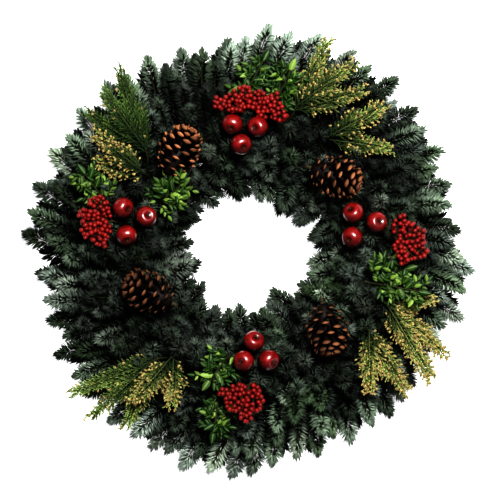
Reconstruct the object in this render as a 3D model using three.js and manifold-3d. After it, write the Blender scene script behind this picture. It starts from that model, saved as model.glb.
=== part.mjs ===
// A fresh evergreen wreath, 660 mm across, lying on its back with its face up.
// Sixteen bunches of noble fir are clamped round a double-rail wire ring. Between the bunches stand the
// stems of incense cedar sprays, evergreen leaf sprigs, four pine cones and four picks of apples and berries.
// Units are millimetres and degrees. +Z points out of the wreath's face and +Y to its top.
// A bearing is measured counterclockwise from +X round the middle of the hole.
import * as THREE from "three";
import { mergeVertices } from "three/addons/utils/BufferGeometryUtils.js";
import Module from "manifold-3d";

const wasm = await Module();
wasm.setup();

// ---------- driving dimensions ----------

const BUNCHES = 16; // fir bunches round the ring
const PITCH = 360 / BUNCHES; // bearing from one bunch to the next
const SWIRL = 0.3; // how fast the foliage leans clockwise as it leaves the ring

const WIRE = 2; // half the width of a ring rail
const WIRE_FLAT = WIRE * Math.cos(Math.PI / 6); // from a rail's middle to its flat underside
const RING = 170; // middle of the ring
const INNER_RAIL = 152;
const OUTER_RAIL = 188;
const RAIL_SEGMENTS = BUNCHES * 2;
const CLAMP_WIRE = 1.7; // half the width of a clamp's wire

const SEAT_GAP = 0.3; // left between a piece and what carries it
const GREEN_GAP = 1; // left between a bunch and the edge of its sector
const CORRIDOR = 4.5; // half the width of the gap between two bunches, where other stems pass
const CORRIDOR_REACH = 48; // the gap is kept this far to each side of the ring's middle
const FLOOR_GAP = 5; // foliage stays this far above the surface

const HUB = 6; // half the width of a bunch of cut stems
const HUB_HEIGHT = WIRE_FLAT * 2 + SEAT_GAP + HUB; // middle of the cut stems
const CLAMP_TOP = HUB_HEIGHT + HUB + SEAT_GAP + CLAMP_WIRE; // middle of a clamp's bridge
const TWIG = 2.3; // half the width of a fir twig with its needle roots
const NEEDLE = 20;
const NEEDLE_SWEEP = 38; // how far a needle leans towards its twig's tip
const WHORL_TURN = 60; // turn of a twig's section from one whorl of needles to the next
const TIP_NEEDLES = 8; // how far the last needles stand out past the end of their twig

// How far each bunch reaches from the middle of the hole, and how near to it.
const REACH = [328, 311, 322, 332, 334, 314, 326, 328, 332, 312, 320, 322, 330, 314, 316, 310];
const INNER_REACH = [88, 88, 80, 70, 78, 79, 84, 88, 86, 76, 81, 92, 79, 84, 64, 86];

const STEM = 1.7; // half the width of a cedar or leaf stem
const RIB = 1.7; // half the width of a cedar frond's rib
const BRANCHLET = 27;
const FROND_ROOTS = [0.35, 0.95, 0.65]; // where a spray's fronds leave its stem, on its last stretch
const LEAF_LENGTH = 23;
const LEAF_WIDTH = 11.5;
const LEAF_THICK = 1.3;
const LEAF_DROOP = 0.2; // fall of a leaf's halves from its midrib
const SIDE_LEAVES = 5; // on each sprig, besides the one at its end

const CONE_LENGTH = 70;
const CONE_GIRTH = 23; // half the width of a cone to the valleys between its scales
const CONE_SCALE = 8; // how far a scale stands out
const CONE_STALK = 3.6; // half the width of its stalk
const STALK_LENGTH = 9;
const CONE_TILT = 0.12; // rise of a cone's tip over its length
const CONE_COLUMNS = 8;
const CONE_ROWS = 9;
const FLORIST_WIRE = 1;

const APPLE = 16; // half an apple's width
const APPLE_FOOT = 0.72; // share of that from its middle to the dimple at its foot
const BERRY = 4.2; // half a berry's width
const BERRY_SHARES = [[1, 0.6], [1, 0.7, 0.4]]; // how far along its twig each berry sits
const PICK_STEM = 2;

const FINISH = {
  wire: { color: "#2f3a33", roughness: 0.45, metalness: 0.8 },
  fir: { color: "#2c4233", roughness: 0.75, metalness: 0 },
  fir_blue: { color: "#6f8a7c", roughness: 0.75, metalness: 0 },
  cedar: { color: "#6f8f2e", roughness: 0.7, metalness: 0 },
  leaf: { color: "#4d8a26", roughness: 0.4, metalness: 0 },
  cone: { color: "#8a4a2c", roughness: 0.7, metalness: 0 },
  apple: { color: "#b3141a", roughness: 0.15, metalness: 0 },
  berry: { color: "#c4161c", roughness: 0.3, metalness: 0 },
};

// ---------- seeded draws ----------

// A draw from low to high, the same on every run.
function seeded(seed) {
  const modulus = 2147483647;
  let state = seed;
  return (low, high) => {
    state = (state * 16807) % modulus;
    return low + ((high - low) * state) / modulus;
  };
}

// ---------- places ----------

const toRadians = THREE.MathUtils.degToRad;

function place(radius, bearing, height) {
  const turn = toRadians(bearing);
  return new THREE.Vector3(radius * Math.cos(turn), radius * Math.sin(turn), height);
}

// How far the foliage has leaned clockwise at a radius, in degrees.
function lean(radius) {
  return THREE.MathUtils.radToDeg(SWIRL * Math.abs(Math.log(radius / RING)));
}

// A place beside the leaning middle line that leaves the ring at a bearing.
function leaning(radius, bearing, aside, height) {
  return place(radius, bearing + aside - lean(radius), height);
}

// The bearing of the gap after a bunch, at a radius.
function corridor(number, radius) {
  return (number + 0.5) * PITCH - lean(radius);
}

// Brings a needle's tip back inside its bunch's sector and above the surface.
function keepInSector(tip, bearing) {
  const radius = Math.hypot(tip.x, tip.y);
  const middle = bearing - lean(radius);
  const turn = THREE.MathUtils.radToDeg(Math.atan2(tip.y, tip.x)) - middle;
  const aside = turn - 360 * Math.round(turn / 360);
  const margin = GREEN_GAP + (Math.abs(radius - RING) < CORRIDOR_REACH ? CORRIDOR : 0);
  const room = PITCH / 2 - THREE.MathUtils.radToDeg(margin / radius);
  const kept = THREE.MathUtils.clamp(aside, -room, room);
  return place(radius, middle + kept, Math.max(tip.z, FLOOR_GAP));
}

// ---------- solids ----------

// A solid from its triangles' corners, three in a row for each.
function solidOf(corners) {
  const raw = new THREE.BufferGeometry().setFromPoints(corners);
  return solidOfGeometry(raw);
}

function solidOfGeometry(geometry) {
  const bare = geometry.clone();
  bare.deleteAttribute("normal");
  bare.deleteAttribute("uv");
  const merged = mergeVertices(bare, 1e-3);
  return new wasm.Manifold(
    new wasm.Mesh({
      numProp: 3,
      vertProperties: new Float32Array(merged.attributes.position.array),
      triVerts: new Uint32Array(merged.index.array),
    }),
  );
}

function unite(solids) {
  return solids.reduce((whole, solid) => whole.add(solid));
}

function meshOf(name, solid, finish) {
  const made = solid.getMesh();
  const geometry = new THREE.BufferGeometry();
  const count = made.numVert * 3;
  const positions = new Float32Array(count);
  for (let i = 0; i < made.numVert; i++) {
    positions.set(made.vertProperties.subarray(i * made.numProp, i * made.numProp + 3), i * 3);
  }
  geometry.setAttribute("position", new THREE.BufferAttribute(positions, 3));
  geometry.setIndex(new THREE.BufferAttribute(new Uint32Array(made.triVerts), 1));
  geometry.computeVertexNormals();
  const mesh = new THREE.Mesh(geometry, new THREE.MeshStandardMaterial(finish));
  mesh.name = name;
  return mesh;
}

// The tangent, side and up directions at each point of a path, turned no more than the path turns.
function framesAlong(points) {
  const tangents = points.map((_, i) => {
    const before = points[Math.max(i - 1, 0)];
    const after = points[Math.min(i + 1, points.length - 1)];
    return after.clone().sub(before).normalize();
  });
  const first = tangents[0];
  const steep = Math.abs(first.z) > 0.9;
  const reference = steep ? points[0].clone().setZ(0) : new THREE.Vector3(0, 0, 1);
  let side = reference.cross(first).normalize();
  return tangents.map((tangent, i) => {
    if (i > 0) {
      const bend = new THREE.Quaternion().setFromUnitVectors(tangents[i - 1], tangent);
      side = side.clone().applyQuaternion(bend);
    }
    return { tangent, side, up: tangent.clone().cross(side) };
  });
}

// A closed tube of few sides through a list of rings, each a point, a radius, a turn of its section and how
// flat it is. Where raise gives a tip for a face, that face stands out as a three-sided needle. It is asked
// with the face's middle, the directions out of the tube, along it and aside, and the ring and face numbers.
function tube(rings, sides, raise = () => null) {
  const frames = framesAlong(rings.map((ring) => ring.point));
  const corners = rings.map(({ point, radius, turn = 0, flat = 1 }, i) =>
    Array.from({ length: sides }, (_, s) => {
      const angle = toRadians(turn) + (2 * Math.PI * s) / sides;
      return point
        .clone()
        .addScaledVector(frames[i].side, radius * Math.cos(angle))
        .addScaledVector(frames[i].up, radius * flat * Math.sin(angle));
    }),
  );
  const faces = [];
  const addFace = (a, b, c, ring, number) => {
    const middle = a.clone().add(b).add(c).divideScalar(3);
    const axis = rings[ring].point.clone().lerp(rings[ring + 1].point, 0.5);
    const along = frames[ring].tangent;
    const out = middle.clone().sub(axis);
    out.addScaledVector(along, -out.dot(along)).normalize();
    const tip = raise({ middle, out, along, side: frames[ring].side, ring, number });
    if (tip) faces.push(a, b, tip, b, c, tip, c, a, tip);
    else faces.push(a, b, c);
  };
  for (let i = 0; i + 1 < rings.length; i++) {
    for (let s = 0; s < sides; s++) {
      const next = (s + 1) % sides;
      addFace(corners[i][s], corners[i][next], corners[i + 1][s], i, 2 * s);
      addFace(corners[i][next], corners[i + 1][next], corners[i + 1][s], i, 2 * s + 1);
    }
  }
  const last = corners.length - 1;
  for (let s = 1; s + 1 < sides; s++) {
    faces.push(corners[0][0], corners[0][s + 1], corners[0][s]);
    faces.push(corners[last][0], corners[last][s], corners[last][s + 1]);
  }
  return solidOf(faces);
}

function evenTube(points, radius, sides) {
  const rings = points.map((point) => ({ point, radius }));
  return tube(rings, sides);
}

// ---------- wire ring ----------

function rail(radius) {
  const torus = new THREE.TorusGeometry(radius, WIRE, 6, RAIL_SEGMENTS);
  return solidOfGeometry(torus.translate(0, 0, WIRE_FLAT));
}

// One closed loop of wire, welded across both rails and bent over the cut stems.
function clamp(number) {
  const shoulder = 9;
  const corners = [
    [INNER_RAIL, WIRE_FLAT],
    [OUTER_RAIL, WIRE_FLAT],
    [OUTER_RAIL - shoulder, CLAMP_TOP],
    [INNER_RAIL + shoulder, CLAMP_TOP],
  ].map(([radius, height]) => place(radius, number * PITCH, height));
  const crossbar = evenTube(corners.slice(0, 2), CLAMP_WIRE, 4);
  const bridge = evenTube([...corners.slice(1), corners[0]], CLAMP_WIRE, 3);
  return crossbar.add(bridge);
}

function wireRing() {
  const clamps = Array.from({ length: BUNCHES }, (_, number) => clamp(number));
  return unite([rail(INNER_RAIL), rail(OUTER_RAIL), ...clamps]);
}

// ---------- fir ----------

// The shoots of a bunch. A shoot leaves the cut stems at root, beside the clamp, and at lift above their
// middle. Its needles begin at a radius and stand in whorls up to its tip, at aside and height. Under 1, climb
// makes it rise early and level out. Short is how much nearer to the ring it ends than its bunch reaches.
const LOW_LEFT = {
  root: -2, lift: -2.5, begin: 224, whorls: 5, aside: 6.4, height: 27, climb: 1.2, short: 0,
};
const LOW_RIGHT = {
  root: -4, lift: -2.5, begin: 226, whorls: 5, aside: -6.4, height: 30, climb: 1.2, short: 4,
};
const MIDDLE = {
  root: -3, lift: 3, begin: 208, whorls: 4, aside: 0.4, height: 60, climb: 0.6, short: 12,
};
const INNER_LOW = {
  root: -2.6, lift: -2.5, begin: 140, whorls: 3, aside: 1.6, height: 25, climb: 1.2, short: 0,
};
const INNER_HIGH = {
  root: -3.8, lift: 3, begin: 150, whorls: 3, aside: -1, height: 60, climb: 0.6, short: 8,
};
const UPPER = {
  root: -4.6, lift: 4, begin: 196, whorls: 4, aside: -1, height: 92, climb: 0.6, short: 66,
};
const OPEN_BUNCHES = [1, 5, 9, 13]; // bunches with nothing laid over them
const BLUE_BUNCHES = [0, 2, 4, 6, 7, 9, 11, 12, 14]; // bunches of the bluer fir

// The places of a shoot's whorls, from its root among the cut stems to its tip.
function firTwig(bearing, shoot, tipRadius) {
  const outward = Math.sign(tipRadius - RING);
  const from = RING + outward * 2;
  const at = (share) => {
    const turned = THREE.MathUtils.smoothstep(share, 0, 0.75);
    const aside = THREE.MathUtils.lerp(shoot.root, shoot.aside, turned);
    const height = HUB_HEIGHT + shoot.lift;
    const risen = THREE.MathUtils.lerp(height, shoot.height, Math.pow(share, shoot.climb));
    return leaning(THREE.MathUtils.lerp(from, tipRadius, share), bearing, aside, risen);
  };
  const start = (shoot.begin - from) / (tipRadius - from);
  const places = [at(0)];
  for (let i = 0; i <= shoot.whorls; i++) places.push(at(start + ((1 - start) * i) / shoot.whorls));
  return places;
}

function firShoot(bearing, shoot, tipRadius, draw) {
  const twist = draw(0, WHORL_TURN);
  const rings = firTwig(bearing, shoot, tipRadius).map((point, i) => ({
    point,
    radius: i > shoot.whorls ? TWIG * 0.6 : TWIG,
    turn: twist + WHORL_TURN * i,
  }));
  rings[0].radius = TWIG * 0.8;
  const needleTip = ({ middle, out, along, ring }) => {
    if (ring === 0) return null;
    const last = ring === shoot.whorls;
    const sweep = toRadians(NEEDLE_SWEEP + draw(-7, 7) + (last ? 12 : 0));
    const length = NEEDLE * draw(0.88, 1.04);
    const tip = middle
      .clone()
      .addScaledVector(out, length * Math.cos(sweep))
      .addScaledVector(along, length * Math.sin(sweep));
    return keepInSector(tip, bearing);
  };
  return tube(rings, 3, needleTip);
}

function cutStems(bearing) {
  const ends = [6.5, -5.6]; // beside the clamp
  const points = ends.map((aside) => leaning(RING, bearing, aside, HUB_HEIGHT));
  return evenTube(points, HUB, 5);
}

function firBunch(number) {
  const bearing = number * PITCH;
  const draw = seeded(101 + 37 * number);
  const outer = [LOW_LEFT, LOW_RIGHT, MIDDLE];
  if (OPEN_BUNCHES.includes(number)) outer.push(UPPER);
  const inner = number % 2 ? [INNER_LOW, INNER_HIGH] : [INNER_LOW];
  const outerTip = ({ short }) => REACH[number] - TIP_NEEDLES - short + draw(-4, 4);
  const innerTip = ({ short }) => INNER_REACH[number] + TIP_NEEDLES + short;
  return unite([
    cutStems(bearing),
    ...outer.map((shoot) => firShoot(bearing, shoot, outerTip(shoot), draw)),
    ...inner.map((shoot) => firShoot(bearing, shoot, innerTip(shoot), draw)),
  ]);
}

// ---------- stems that stand in the corridors ----------

// How far a rail's middle is from the middle of the hole at a bearing, on its straight segments.
function railRadius(rail, bearing) {
  const segment = 360 / RAIL_SEGMENTS;
  const fromMiddle = THREE.MathUtils.euclideanModulo(bearing, segment) - segment / 2;
  return (rail * Math.cos(toRadians(segment / 2))) / Math.cos(toRadians(fromMiddle));
}

// A stem from its foot against the outer or inner side of a rail, up through a corridor, and on through the
// places given.
function standingStem({ gap, rail, outside, route }, halfWidth) {
  const bearing = corridor(gap, rail);
  const away = WIRE + SEAT_GAP + halfWidth;
  const radius = railRadius(rail, bearing) + (outside ? away : -away);
  const heights = [1, 36];
  return [
    ...heights.map((height) => place(radius, bearing, height)),
    ...route.map(([r, b, h]) => place(r, b, h)),
  ];
}

// ---------- cedar ----------

// One flat frond from a stem to its tip, with two branchlets on each side at every step.
function cedarFrond(start, tip, draw) {
  const steps = 5;
  const arch = 6;
  const rings = Array.from({ length: steps + 1 }, (_, i) => {
    const share = i / steps;
    const point = start.clone().lerp(tip, share);
    point.z += arch * 4 * share * (1 - share);
    return { point, radius: RIB * (1 - 0.5 * share), turn: 90, flat: 0.7 };
  });
  const branchletTip = ({ middle, along, side, ring, number }) => {
    const underside = number === 2 || number === 3;
    if (underside || ring === 0) return null;
    const hand = number < 2 ? -1 : 1;
    const share = ring / steps;
    const length = BRANCHLET * (1 - 0.45 * share) * draw(0.8, 1.05);
    const sweep = toRadians(40 + 24 * share + draw(-5, 5));
    return middle
      .clone()
      .addScaledVector(side, hand * length * Math.cos(sweep))
      .addScaledVector(along, length * Math.sin(sweep))
      .add(new THREE.Vector3(0, 0, -2));
  };
  return tube(rings, 3, branchletTip);
}

// Each spray: the corridor its stem stands in, the stem's route, and the tips of its fronds.
const CEDAR = [
  {
    name: "upper_left_outer", gap: 6, rail: OUTER_RAIL, outside: true,
    route: [[196, 138, 74], [212, 135, 88]],
    tips: [[318, 126, 76], [305, 132.5, 88], [302, 139, 76]],
  },
  {
    name: "upper_left_inner", gap: 6, rail: OUTER_RAIL, outside: false,
    route: [[184, 143.5, 76], [190, 143, 98]],
    tips: [[244, 149, 90], [268, 142.5, 104]],
  },
  {
    name: "upper_right_outer", gap: 3, rail: OUTER_RAIL, outside: true,
    route: [[200, 73, 72], [220, 72.5, 86]],
    tips: [[318, 70, 76], [300, 62, 88], [278, 56, 76]],
  },
  {
    name: "upper_right_inner", gap: 2, rail: OUTER_RAIL, outside: true,
    route: [[196, 55, 76], [200, 56, 98]],
    tips: [[244, 38, 86], [276, 48, 100]],
  },
  {
    name: "lower_right_outer", gap: 15, rail: OUTER_RAIL, outside: true,
    route: [[196, 341, 74], [212, 339, 86]],
    tips: [[306, 333, 80], [306, 326, 92], [262, 345, 74]],
  },
  {
    name: "lower_right_inner", gap: 14, rail: OUTER_RAIL, outside: true,
    route: [[196, 326, 74], [204, 327, 94]],
    tips: [[292, 319, 78], [256, 312, 90]],
  },
  {
    name: "lower_left_outer", gap: 10, rail: OUTER_RAIL, outside: true,
    route: [[196, 230, 74], [210, 228, 86]],
    tips: [[320, 218.5, 76], [320, 226, 88], [296, 234, 76]],
  },
  {
    name: "lower_left_inner", gap: 10, rail: OUTER_RAIL, outside: false,
    route: [[184, 234, 76], [188, 233, 98]],
    tips: [[236, 242, 88], [262, 232, 104]],
  },
];

function cedarSpray(spray, number) {
  const draw = seeded(701 + 53 * number);
  const stem = standingStem(spray, STEM);
  const [waist, end] = stem.slice(-2);
  const fronds = spray.tips.map(([radius, bearing, height], i) => {
    const start = waist.clone().lerp(end, FROND_ROOTS[i]);
    return cedarFrond(start, place(radius, bearing, height), draw);
  });
  return unite([evenTube(stem, STEM, 4), ...fronds]);
}

// ---------- leaf sprigs ----------

// A pointed oval leaf, thickest along its midrib, from its foot on a twig.
function leaf(foot, along, up, length) {
  const side = up.clone().cross(along).normalize();
  const outline = [
    [0, 0], [0.3, 0.5], [0.62, 0.44], [1, 0], [0.62, -0.44], [0.3, -0.5],
  ].map(([lengthwise, across]) => {
    const width = LEAF_WIDTH * across;
    return foot
      .clone()
      .addScaledVector(along, length * lengthwise)
      .addScaledVector(side, width)
      .addScaledVector(up, -LEAF_DROOP * Math.abs(width));
  });
  const heart = foot.clone().addScaledVector(along, length * 0.45);
  const top = heart.clone().addScaledVector(up, LEAF_THICK / 2);
  const under = heart.clone().addScaledVector(up, -LEAF_THICK / 2);
  const faces = outline.flatMap((corner, i) => {
    const next = outline[(i + 1) % outline.length];
    return [corner, top, next, corner, next, under];
  });
  return solidOf(faces);
}

// Each sprig: the corridor its stem stands in and the stem's route. The leaves stand along its last stretch.
const SPRIGS = [
  {
    name: "left_outer", gap: 7, rail: OUTER_RAIL, outside: true,
    route: [[200, 162, 74], [224, 160, 82], [262, 154.5, 88]],
  },
  {
    name: "left_inner", gap: 6, rail: INNER_RAIL, outside: false,
    route: [[148, 152, 74], [147, 150, 88], [138, 136, 98]],
  },
  {
    name: "top_left", gap: 4, rail: OUTER_RAIL, outside: true,
    route: [[200, 95, 70], [226, 92, 82], [276, 86, 86]],
  },
  {
    name: "top_right", gap: 3, rail: OUTER_RAIL, outside: false,
    route: [[192, 79, 72], [222, 80, 84], [268, 77.5, 92]],
  },
  {
    name: "right_inner", gap: 15, rail: OUTER_RAIL, outside: false,
    route: [[182, 349, 72], [186, 350, 88], [224, 354, 94]],
  },
  {
    name: "right_outer", gap: 15, rail: INNER_RAIL, outside: true,
    route: [[158, 345, 74], [196, 346.5, 96], [248, 347, 102]],
  },
  {
    name: "bottom_inner", gap: 11, rail: INNER_RAIL, outside: false,
    route: [[150, 258, 70], [152, 258, 88], [192, 252.5, 98]],
  },
  {
    name: "bottom_outer", gap: 11, rail: OUTER_RAIL, outside: true,
    route: [[200, 257, 72], [214, 258, 84], [262, 258.5, 90]],
  },
];

function leafSprig(sprig, number) {
  const draw = seeded(907 + 29 * number);
  const stem = standingStem(sprig, STEM);
  const [from, to] = stem.slice(-2);
  const along = to.clone().sub(from).normalize();
  const up = new THREE.Vector3(0, 0, 1).addScaledVector(along, -along.z).normalize();
  const leaves = [leaf(to.clone().addScaledVector(along, -2), along, up, LEAF_LENGTH)];
  for (let i = 0; i < SIDE_LEAVES; i++) {
    const hand = i % 2 ? 1 : -1;
    const foot = from.clone().lerp(to, 0.1 + (0.84 * i) / SIDE_LEAVES);
    const direction = along.clone().applyAxisAngle(up, toRadians(hand * draw(50, 60)));
    direction.addScaledVector(up, draw(0.05, 0.3)).normalize();
    const upright = up.clone().addScaledVector(direction, -up.dot(direction)).normalize();
    leaves.push(leaf(foot, direction, upright, LEAF_LENGTH * draw(0.8, 1)));
  }
  return unite([evenTube(stem, STEM, 3), ...leaves]);
}

// ---------- cones ----------

// Each cone lies on its side: the place of its middle, the bearing its tip points to, and its wire's corridor.
const CONES = [
  { name: "upper_left", at: [176, 125.5, 96], points: 62, gap: 6, rail: INNER_RAIL, outside: true },
  { name: "upper_right", at: [163, 42, 96], points: -20, gap: 2, rail: INNER_RAIL, outside: true },
  { name: "lower_right", at: [154, 315.5, 96], points: 280, gap: 14, rail: INNER_RAIL, outside: true },
  { name: "lower_left", at: [154, 201.5, 96], points: 153, gap: 9, rail: INNER_RAIL, outside: true },
];

// Half the width of a cone's body at a share of its length from its foot.
function coneGirth(share) {
  const belly = Math.sin(Math.PI * Math.pow(Math.min(share + 0.06, 1), 0.8));
  return CONE_GIRTH * (0.25 + 0.75 * belly);
}

// A cone's foot and the directions along it, aside and up.
function coneFrame({ at, points }) {
  const axis = place(1, points, 0).setZ(CONE_TILT).normalize();
  const foot = place(...at).addScaledVector(axis, -CONE_LENGTH / 2);
  const side = new THREE.Vector3(0, 0, 1).cross(axis).normalize();
  return { foot, axis, side, up: axis.clone().cross(side) };
}

// A place on a cone's body, where the odd rows stand half a column on, or lifted off it.
function onCone({ foot, axis, side, up }, row, column, lift = 0) {
  const share = (row + 1) / (CONE_ROWS + 2);
  const angle = (2 * Math.PI * (column + (row % 2) / 2)) / CONE_COLUMNS;
  const radius = coneGirth(share) + lift;
  return foot
    .clone()
    .addScaledVector(axis, share * CONE_LENGTH)
    .addScaledVector(side, radius * Math.cos(angle))
    .addScaledVector(up, radius * Math.sin(angle));
}

// One diamond of a cone's body raised into a four-sided scale whose tip sweeps towards the cone's tip.
function coneScale(frame, row, column) {
  const odd = row % 2;
  const below = onCone(frame, row, column);
  const right = onCone(frame, row + 1, column + odd);
  const left = onCone(frame, row + 1, column + odd - 1);
  const above = onCone(frame, row + 2, column);
  const stand = CONE_SCALE * (0.55 + 0.45 * Math.sin((Math.PI * (row + 1)) / CONE_ROWS));
  const sweep = CONE_LENGTH / (CONE_ROWS + 2) + 3;
  const tip = onCone(frame, row, column, stand).addScaledVector(frame.axis, sweep);
  return [below, right, tip, right, above, tip, above, left, tip, left, below, tip];
}

// A body of revolution tiled with staggered diamonds, closed at its ends, on a short stalk.
function coneSolid(cone) {
  const frame = coneFrame(cone);
  const { foot, axis } = frame;
  const base = foot.clone().addScaledVector(axis, -1);
  const peak = foot.clone().addScaledVector(axis, CONE_LENGTH - 2);
  const last = CONE_ROWS;
  const faces = [];
  for (let column = 0; column < CONE_COLUMNS; column++) {
    const [first, second] = [onCone(frame, 0, column), onCone(frame, 0, column + 1)];
    const [nearer, further] = [onCone(frame, last, column), onCone(frame, last, column + 1)];
    faces.push(base, second, first, first, second, onCone(frame, 1, column));
    faces.push(peak, nearer, further, further, nearer, onCone(frame, last - 1, column + (last % 2)));
    for (let row = 0; row + 2 <= last; row++) faces.push(...coneScale(frame, row, column));
  }
  const stalk = [-STALK_LENGTH, 6].map((along) => foot.clone().addScaledVector(axis, along));
  return solidOf(faces).add(evenTube(stalk, CONE_STALK, 6));
}

// Florist's wire from its foot by the rail to a turn round the cone's stalk.
function coneWire(cone) {
  const { foot, axis, side, up } = coneFrame(cone);
  const middle = foot.clone().addScaledVector(axis, -STALK_LENGTH / 2);
  const radius = CONE_STALK + SEAT_GAP + FLORIST_WIRE;
  const turn = Array.from({ length: 8 }, (_, i) => {
    const angle = toRadians(-90 + 38 * i);
    return middle
      .clone()
      .addScaledVector(side, radius * Math.cos(angle))
      .addScaledVector(up, radius * Math.sin(angle));
  });
  const stem = standingStem({ ...cone, route: [] }, FLORIST_WIRE);
  const below = turn[0].clone().addScaledVector(up, -12).addScaledVector(side, -3);
  return evenTube([...stem, below, ...turn], FLORIST_WIRE, 3);
}

// ---------- apples and berries ----------

// Each pick: its corridor, its stem's route to the berries, the tips of its twigs, and where its apples lie.
// An apple's stalk end tilts away from straight up, towards a bearing.
const PICKS = [
  {
    name: "top", gap: 4, rail: INNER_RAIL, outside: true,
    route: [[162, 101, 70], [198, 97, 84], [204, 90, 98]],
    tips: [[221, 103, 112], [236, 92, 112], [224, 80, 110], [202, 75, 108]],
    apples: [
      { at: [185, 97.8, 104], tilt: 40, towards: 250 },
      { at: [180, 86.5, 102], tilt: 25, towards: 200 },
      { at: [155, 94.6, 106], tilt: 35, towards: 300 },
    ],
  },
  {
    name: "left", gap: 7, rail: OUTER_RAIL, outside: false,
    route: [[188, 167, 74], [204, 167, 94]],
    tips: [[230, 160, 112], [248, 166.5, 112], [238, 173.5, 110], [214, 177, 108]],
    apples: [
      { at: [192, 160.6, 106], tilt: 45, towards: 340 },
      { at: [157, 161, 102], tilt: 25, towards: 30 },
      { at: [178, 172, 104], tilt: 45, towards: 280 },
    ],
  },
  {
    name: "bottom", gap: 12, rail: OUTER_RAIL, outside: false,
    route: [[184, 275, 72], [188, 270, 92]],
    tips: [[206, 258, 108], [226, 264, 108], [241, 269, 106], [212, 275, 106]],
    apples: [
      { at: [127, 272.5, 100], tilt: 40, towards: 60 },
      { at: [155, 266.8, 106], tilt: 30, towards: 200 },
      { at: [156, 280, 104], tilt: 45, towards: 330 },
    ],
  },
  {
    name: "right", gap: 0, rail: OUTER_RAIL, outside: true,
    route: [[198, 8.5, 70], [208, 6.5, 92]],
    tips: [[224, 13.5, 108], [250, 7, 110], [248, -0.5, 110], [222, -3.5, 116]],
    apples: [
      { at: [158, 21, 104], tilt: 40, towards: 130 },
      { at: [186, 13.4, 104], tilt: 25, towards: 20 },
      { at: [148, 8.6, 102], tilt: 40, towards: 220 },
    ],
  },
];

// The direction from an apple's foot to its stalk.
function appleAxis({ tilt, towards }) {
  return place(Math.sin(toRadians(tilt)), towards, Math.cos(toRadians(tilt)));
}

// A body of revolution from the dimple at its foot to the dimple round its stalk.
function appleSolid(apple) {
  const profile = [
    [0, -APPLE_FOOT], [0.42, -0.9], [0.86, -0.52], [1, 0.1], [0.8, 0.66], [0.36, 0.86], [0, 0.6],
  ].map(([across, along]) => new THREE.Vector2(APPLE * across, APPLE * along));
  const geometry = new THREE.LatheGeometry(profile, 7);
  const stalkward = new THREE.Vector3(0, 1, 0);
  geometry.applyQuaternion(new THREE.Quaternion().setFromUnitVectors(stalkward, appleAxis(apple)));
  const { x, y, z } = place(...apple.at);
  return solidOfGeometry(geometry.translate(x, y, z));
}

// A twig of berries: one at its tip and the others beside it in turn.
function berryTwig(crown, tip, shares, draw) {
  const along = tip.clone().sub(crown);
  const side = new THREE.Vector3(0, 0, 1).cross(along).normalize();
  const berries = shares.map((share, i) => {
    const hand = i % 2 ? 1 : -1;
    const away = share === 1 ? 0 : hand * BERRY * draw(0.7, 0.9);
    const middle = crown.clone().addScaledVector(along, share).addScaledVector(side, away);
    const berry = new THREE.IcosahedronGeometry(BERRY, 0);
    berry.rotateZ(draw(0, Math.PI));
    return solidOfGeometry(berry.translate(middle.x, middle.y, middle.z));
  });
  return [evenTube([crown, tip], FLORIST_WIRE, 3), ...berries];
}

// The wire from a pick's stem round to an apple's foot.
function appleWire(waist, apple) {
  const middle = place(...apple.at);
  const footward = appleAxis(apple).negate();
  const foot = middle.clone().addScaledVector(footward, APPLE * APPLE_FOOT + SEAT_GAP + FLORIST_WIRE / 2);
  const behind = middle.clone().addScaledVector(footward, APPLE * 1.35);
  return evenTube([waist, behind, foot], FLORIST_WIRE, 3);
}

function berryPick(pick, number) {
  const draw = seeded(331 + 41 * number);
  const stem = standingStem(pick, PICK_STEM);
  const [waist, crown] = stem.slice(-2);
  return unite([
    evenTube(stem, PICK_STEM, 4),
    ...pick.tips.flatMap((tip, i) => berryTwig(crown, place(...tip), BERRY_SHARES[i % 2], draw)),
    ...pick.apples.map((apple) => appleWire(waist, apple)),
  ]);
}

// ---------- the wreath ----------

const wreath = new THREE.Group();
wreath.add(meshOf("wire_ring", wireRing(), FINISH.wire));

for (let number = 0; number < BUNCHES; number++) {
  const finish = BLUE_BUNCHES.includes(number) ? FINISH.fir_blue : FINISH.fir;
  const name = `fir_bunch_${String(number + 1).padStart(2, "0")}`;
  wreath.add(meshOf(name, firBunch(number), finish));
}

CEDAR.forEach((spray, number) => {
  wreath.add(meshOf(`cedar_${spray.name}`, cedarSpray(spray, number), FINISH.cedar));
});

SPRIGS.forEach((sprig, number) => {
  wreath.add(meshOf(`leaf_sprig_${sprig.name}`, leafSprig(sprig, number), FINISH.leaf));
});

for (const cone of CONES) {
  wreath.add(meshOf(`cone_${cone.name}`, coneSolid(cone), FINISH.cone));
  wreath.add(meshOf(`cone_wire_${cone.name}`, coneWire(cone), FINISH.wire));
}

PICKS.forEach((pick, number) => {
  wreath.add(meshOf(`berry_pick_${pick.name}`, berryPick(pick, number), FINISH.berry));
  pick.apples.forEach((apple, i) => {
    wreath.add(meshOf(`apple_${pick.name}_${i + 1}`, appleSolid(apple), FINISH.apple));
  });
});

// The origin is the middle of the underside of the box round the whole wreath.
const bounds = new THREE.Box3().setFromObject(wreath);
const centre = bounds.getCenter(new THREE.Vector3());
wreath.position.set(-centre.x, -centre.y, -bounds.min.z);

export default wreath;
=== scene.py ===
"""A fresh evergreen wreath, lying on its back with its face up: the finish of every piece.

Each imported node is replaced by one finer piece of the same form. Sizes are in millimetres and degrees,
and place() turns them into metres. What a user changes and what the node trees take is in metres.
"""

import math
from collections import namedtuple

import bmesh
import bpy
import numpy as np
from bpy.props import FloatProperty, FloatVectorProperty, PointerProperty
from mathutils import Matrix, Vector


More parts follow.
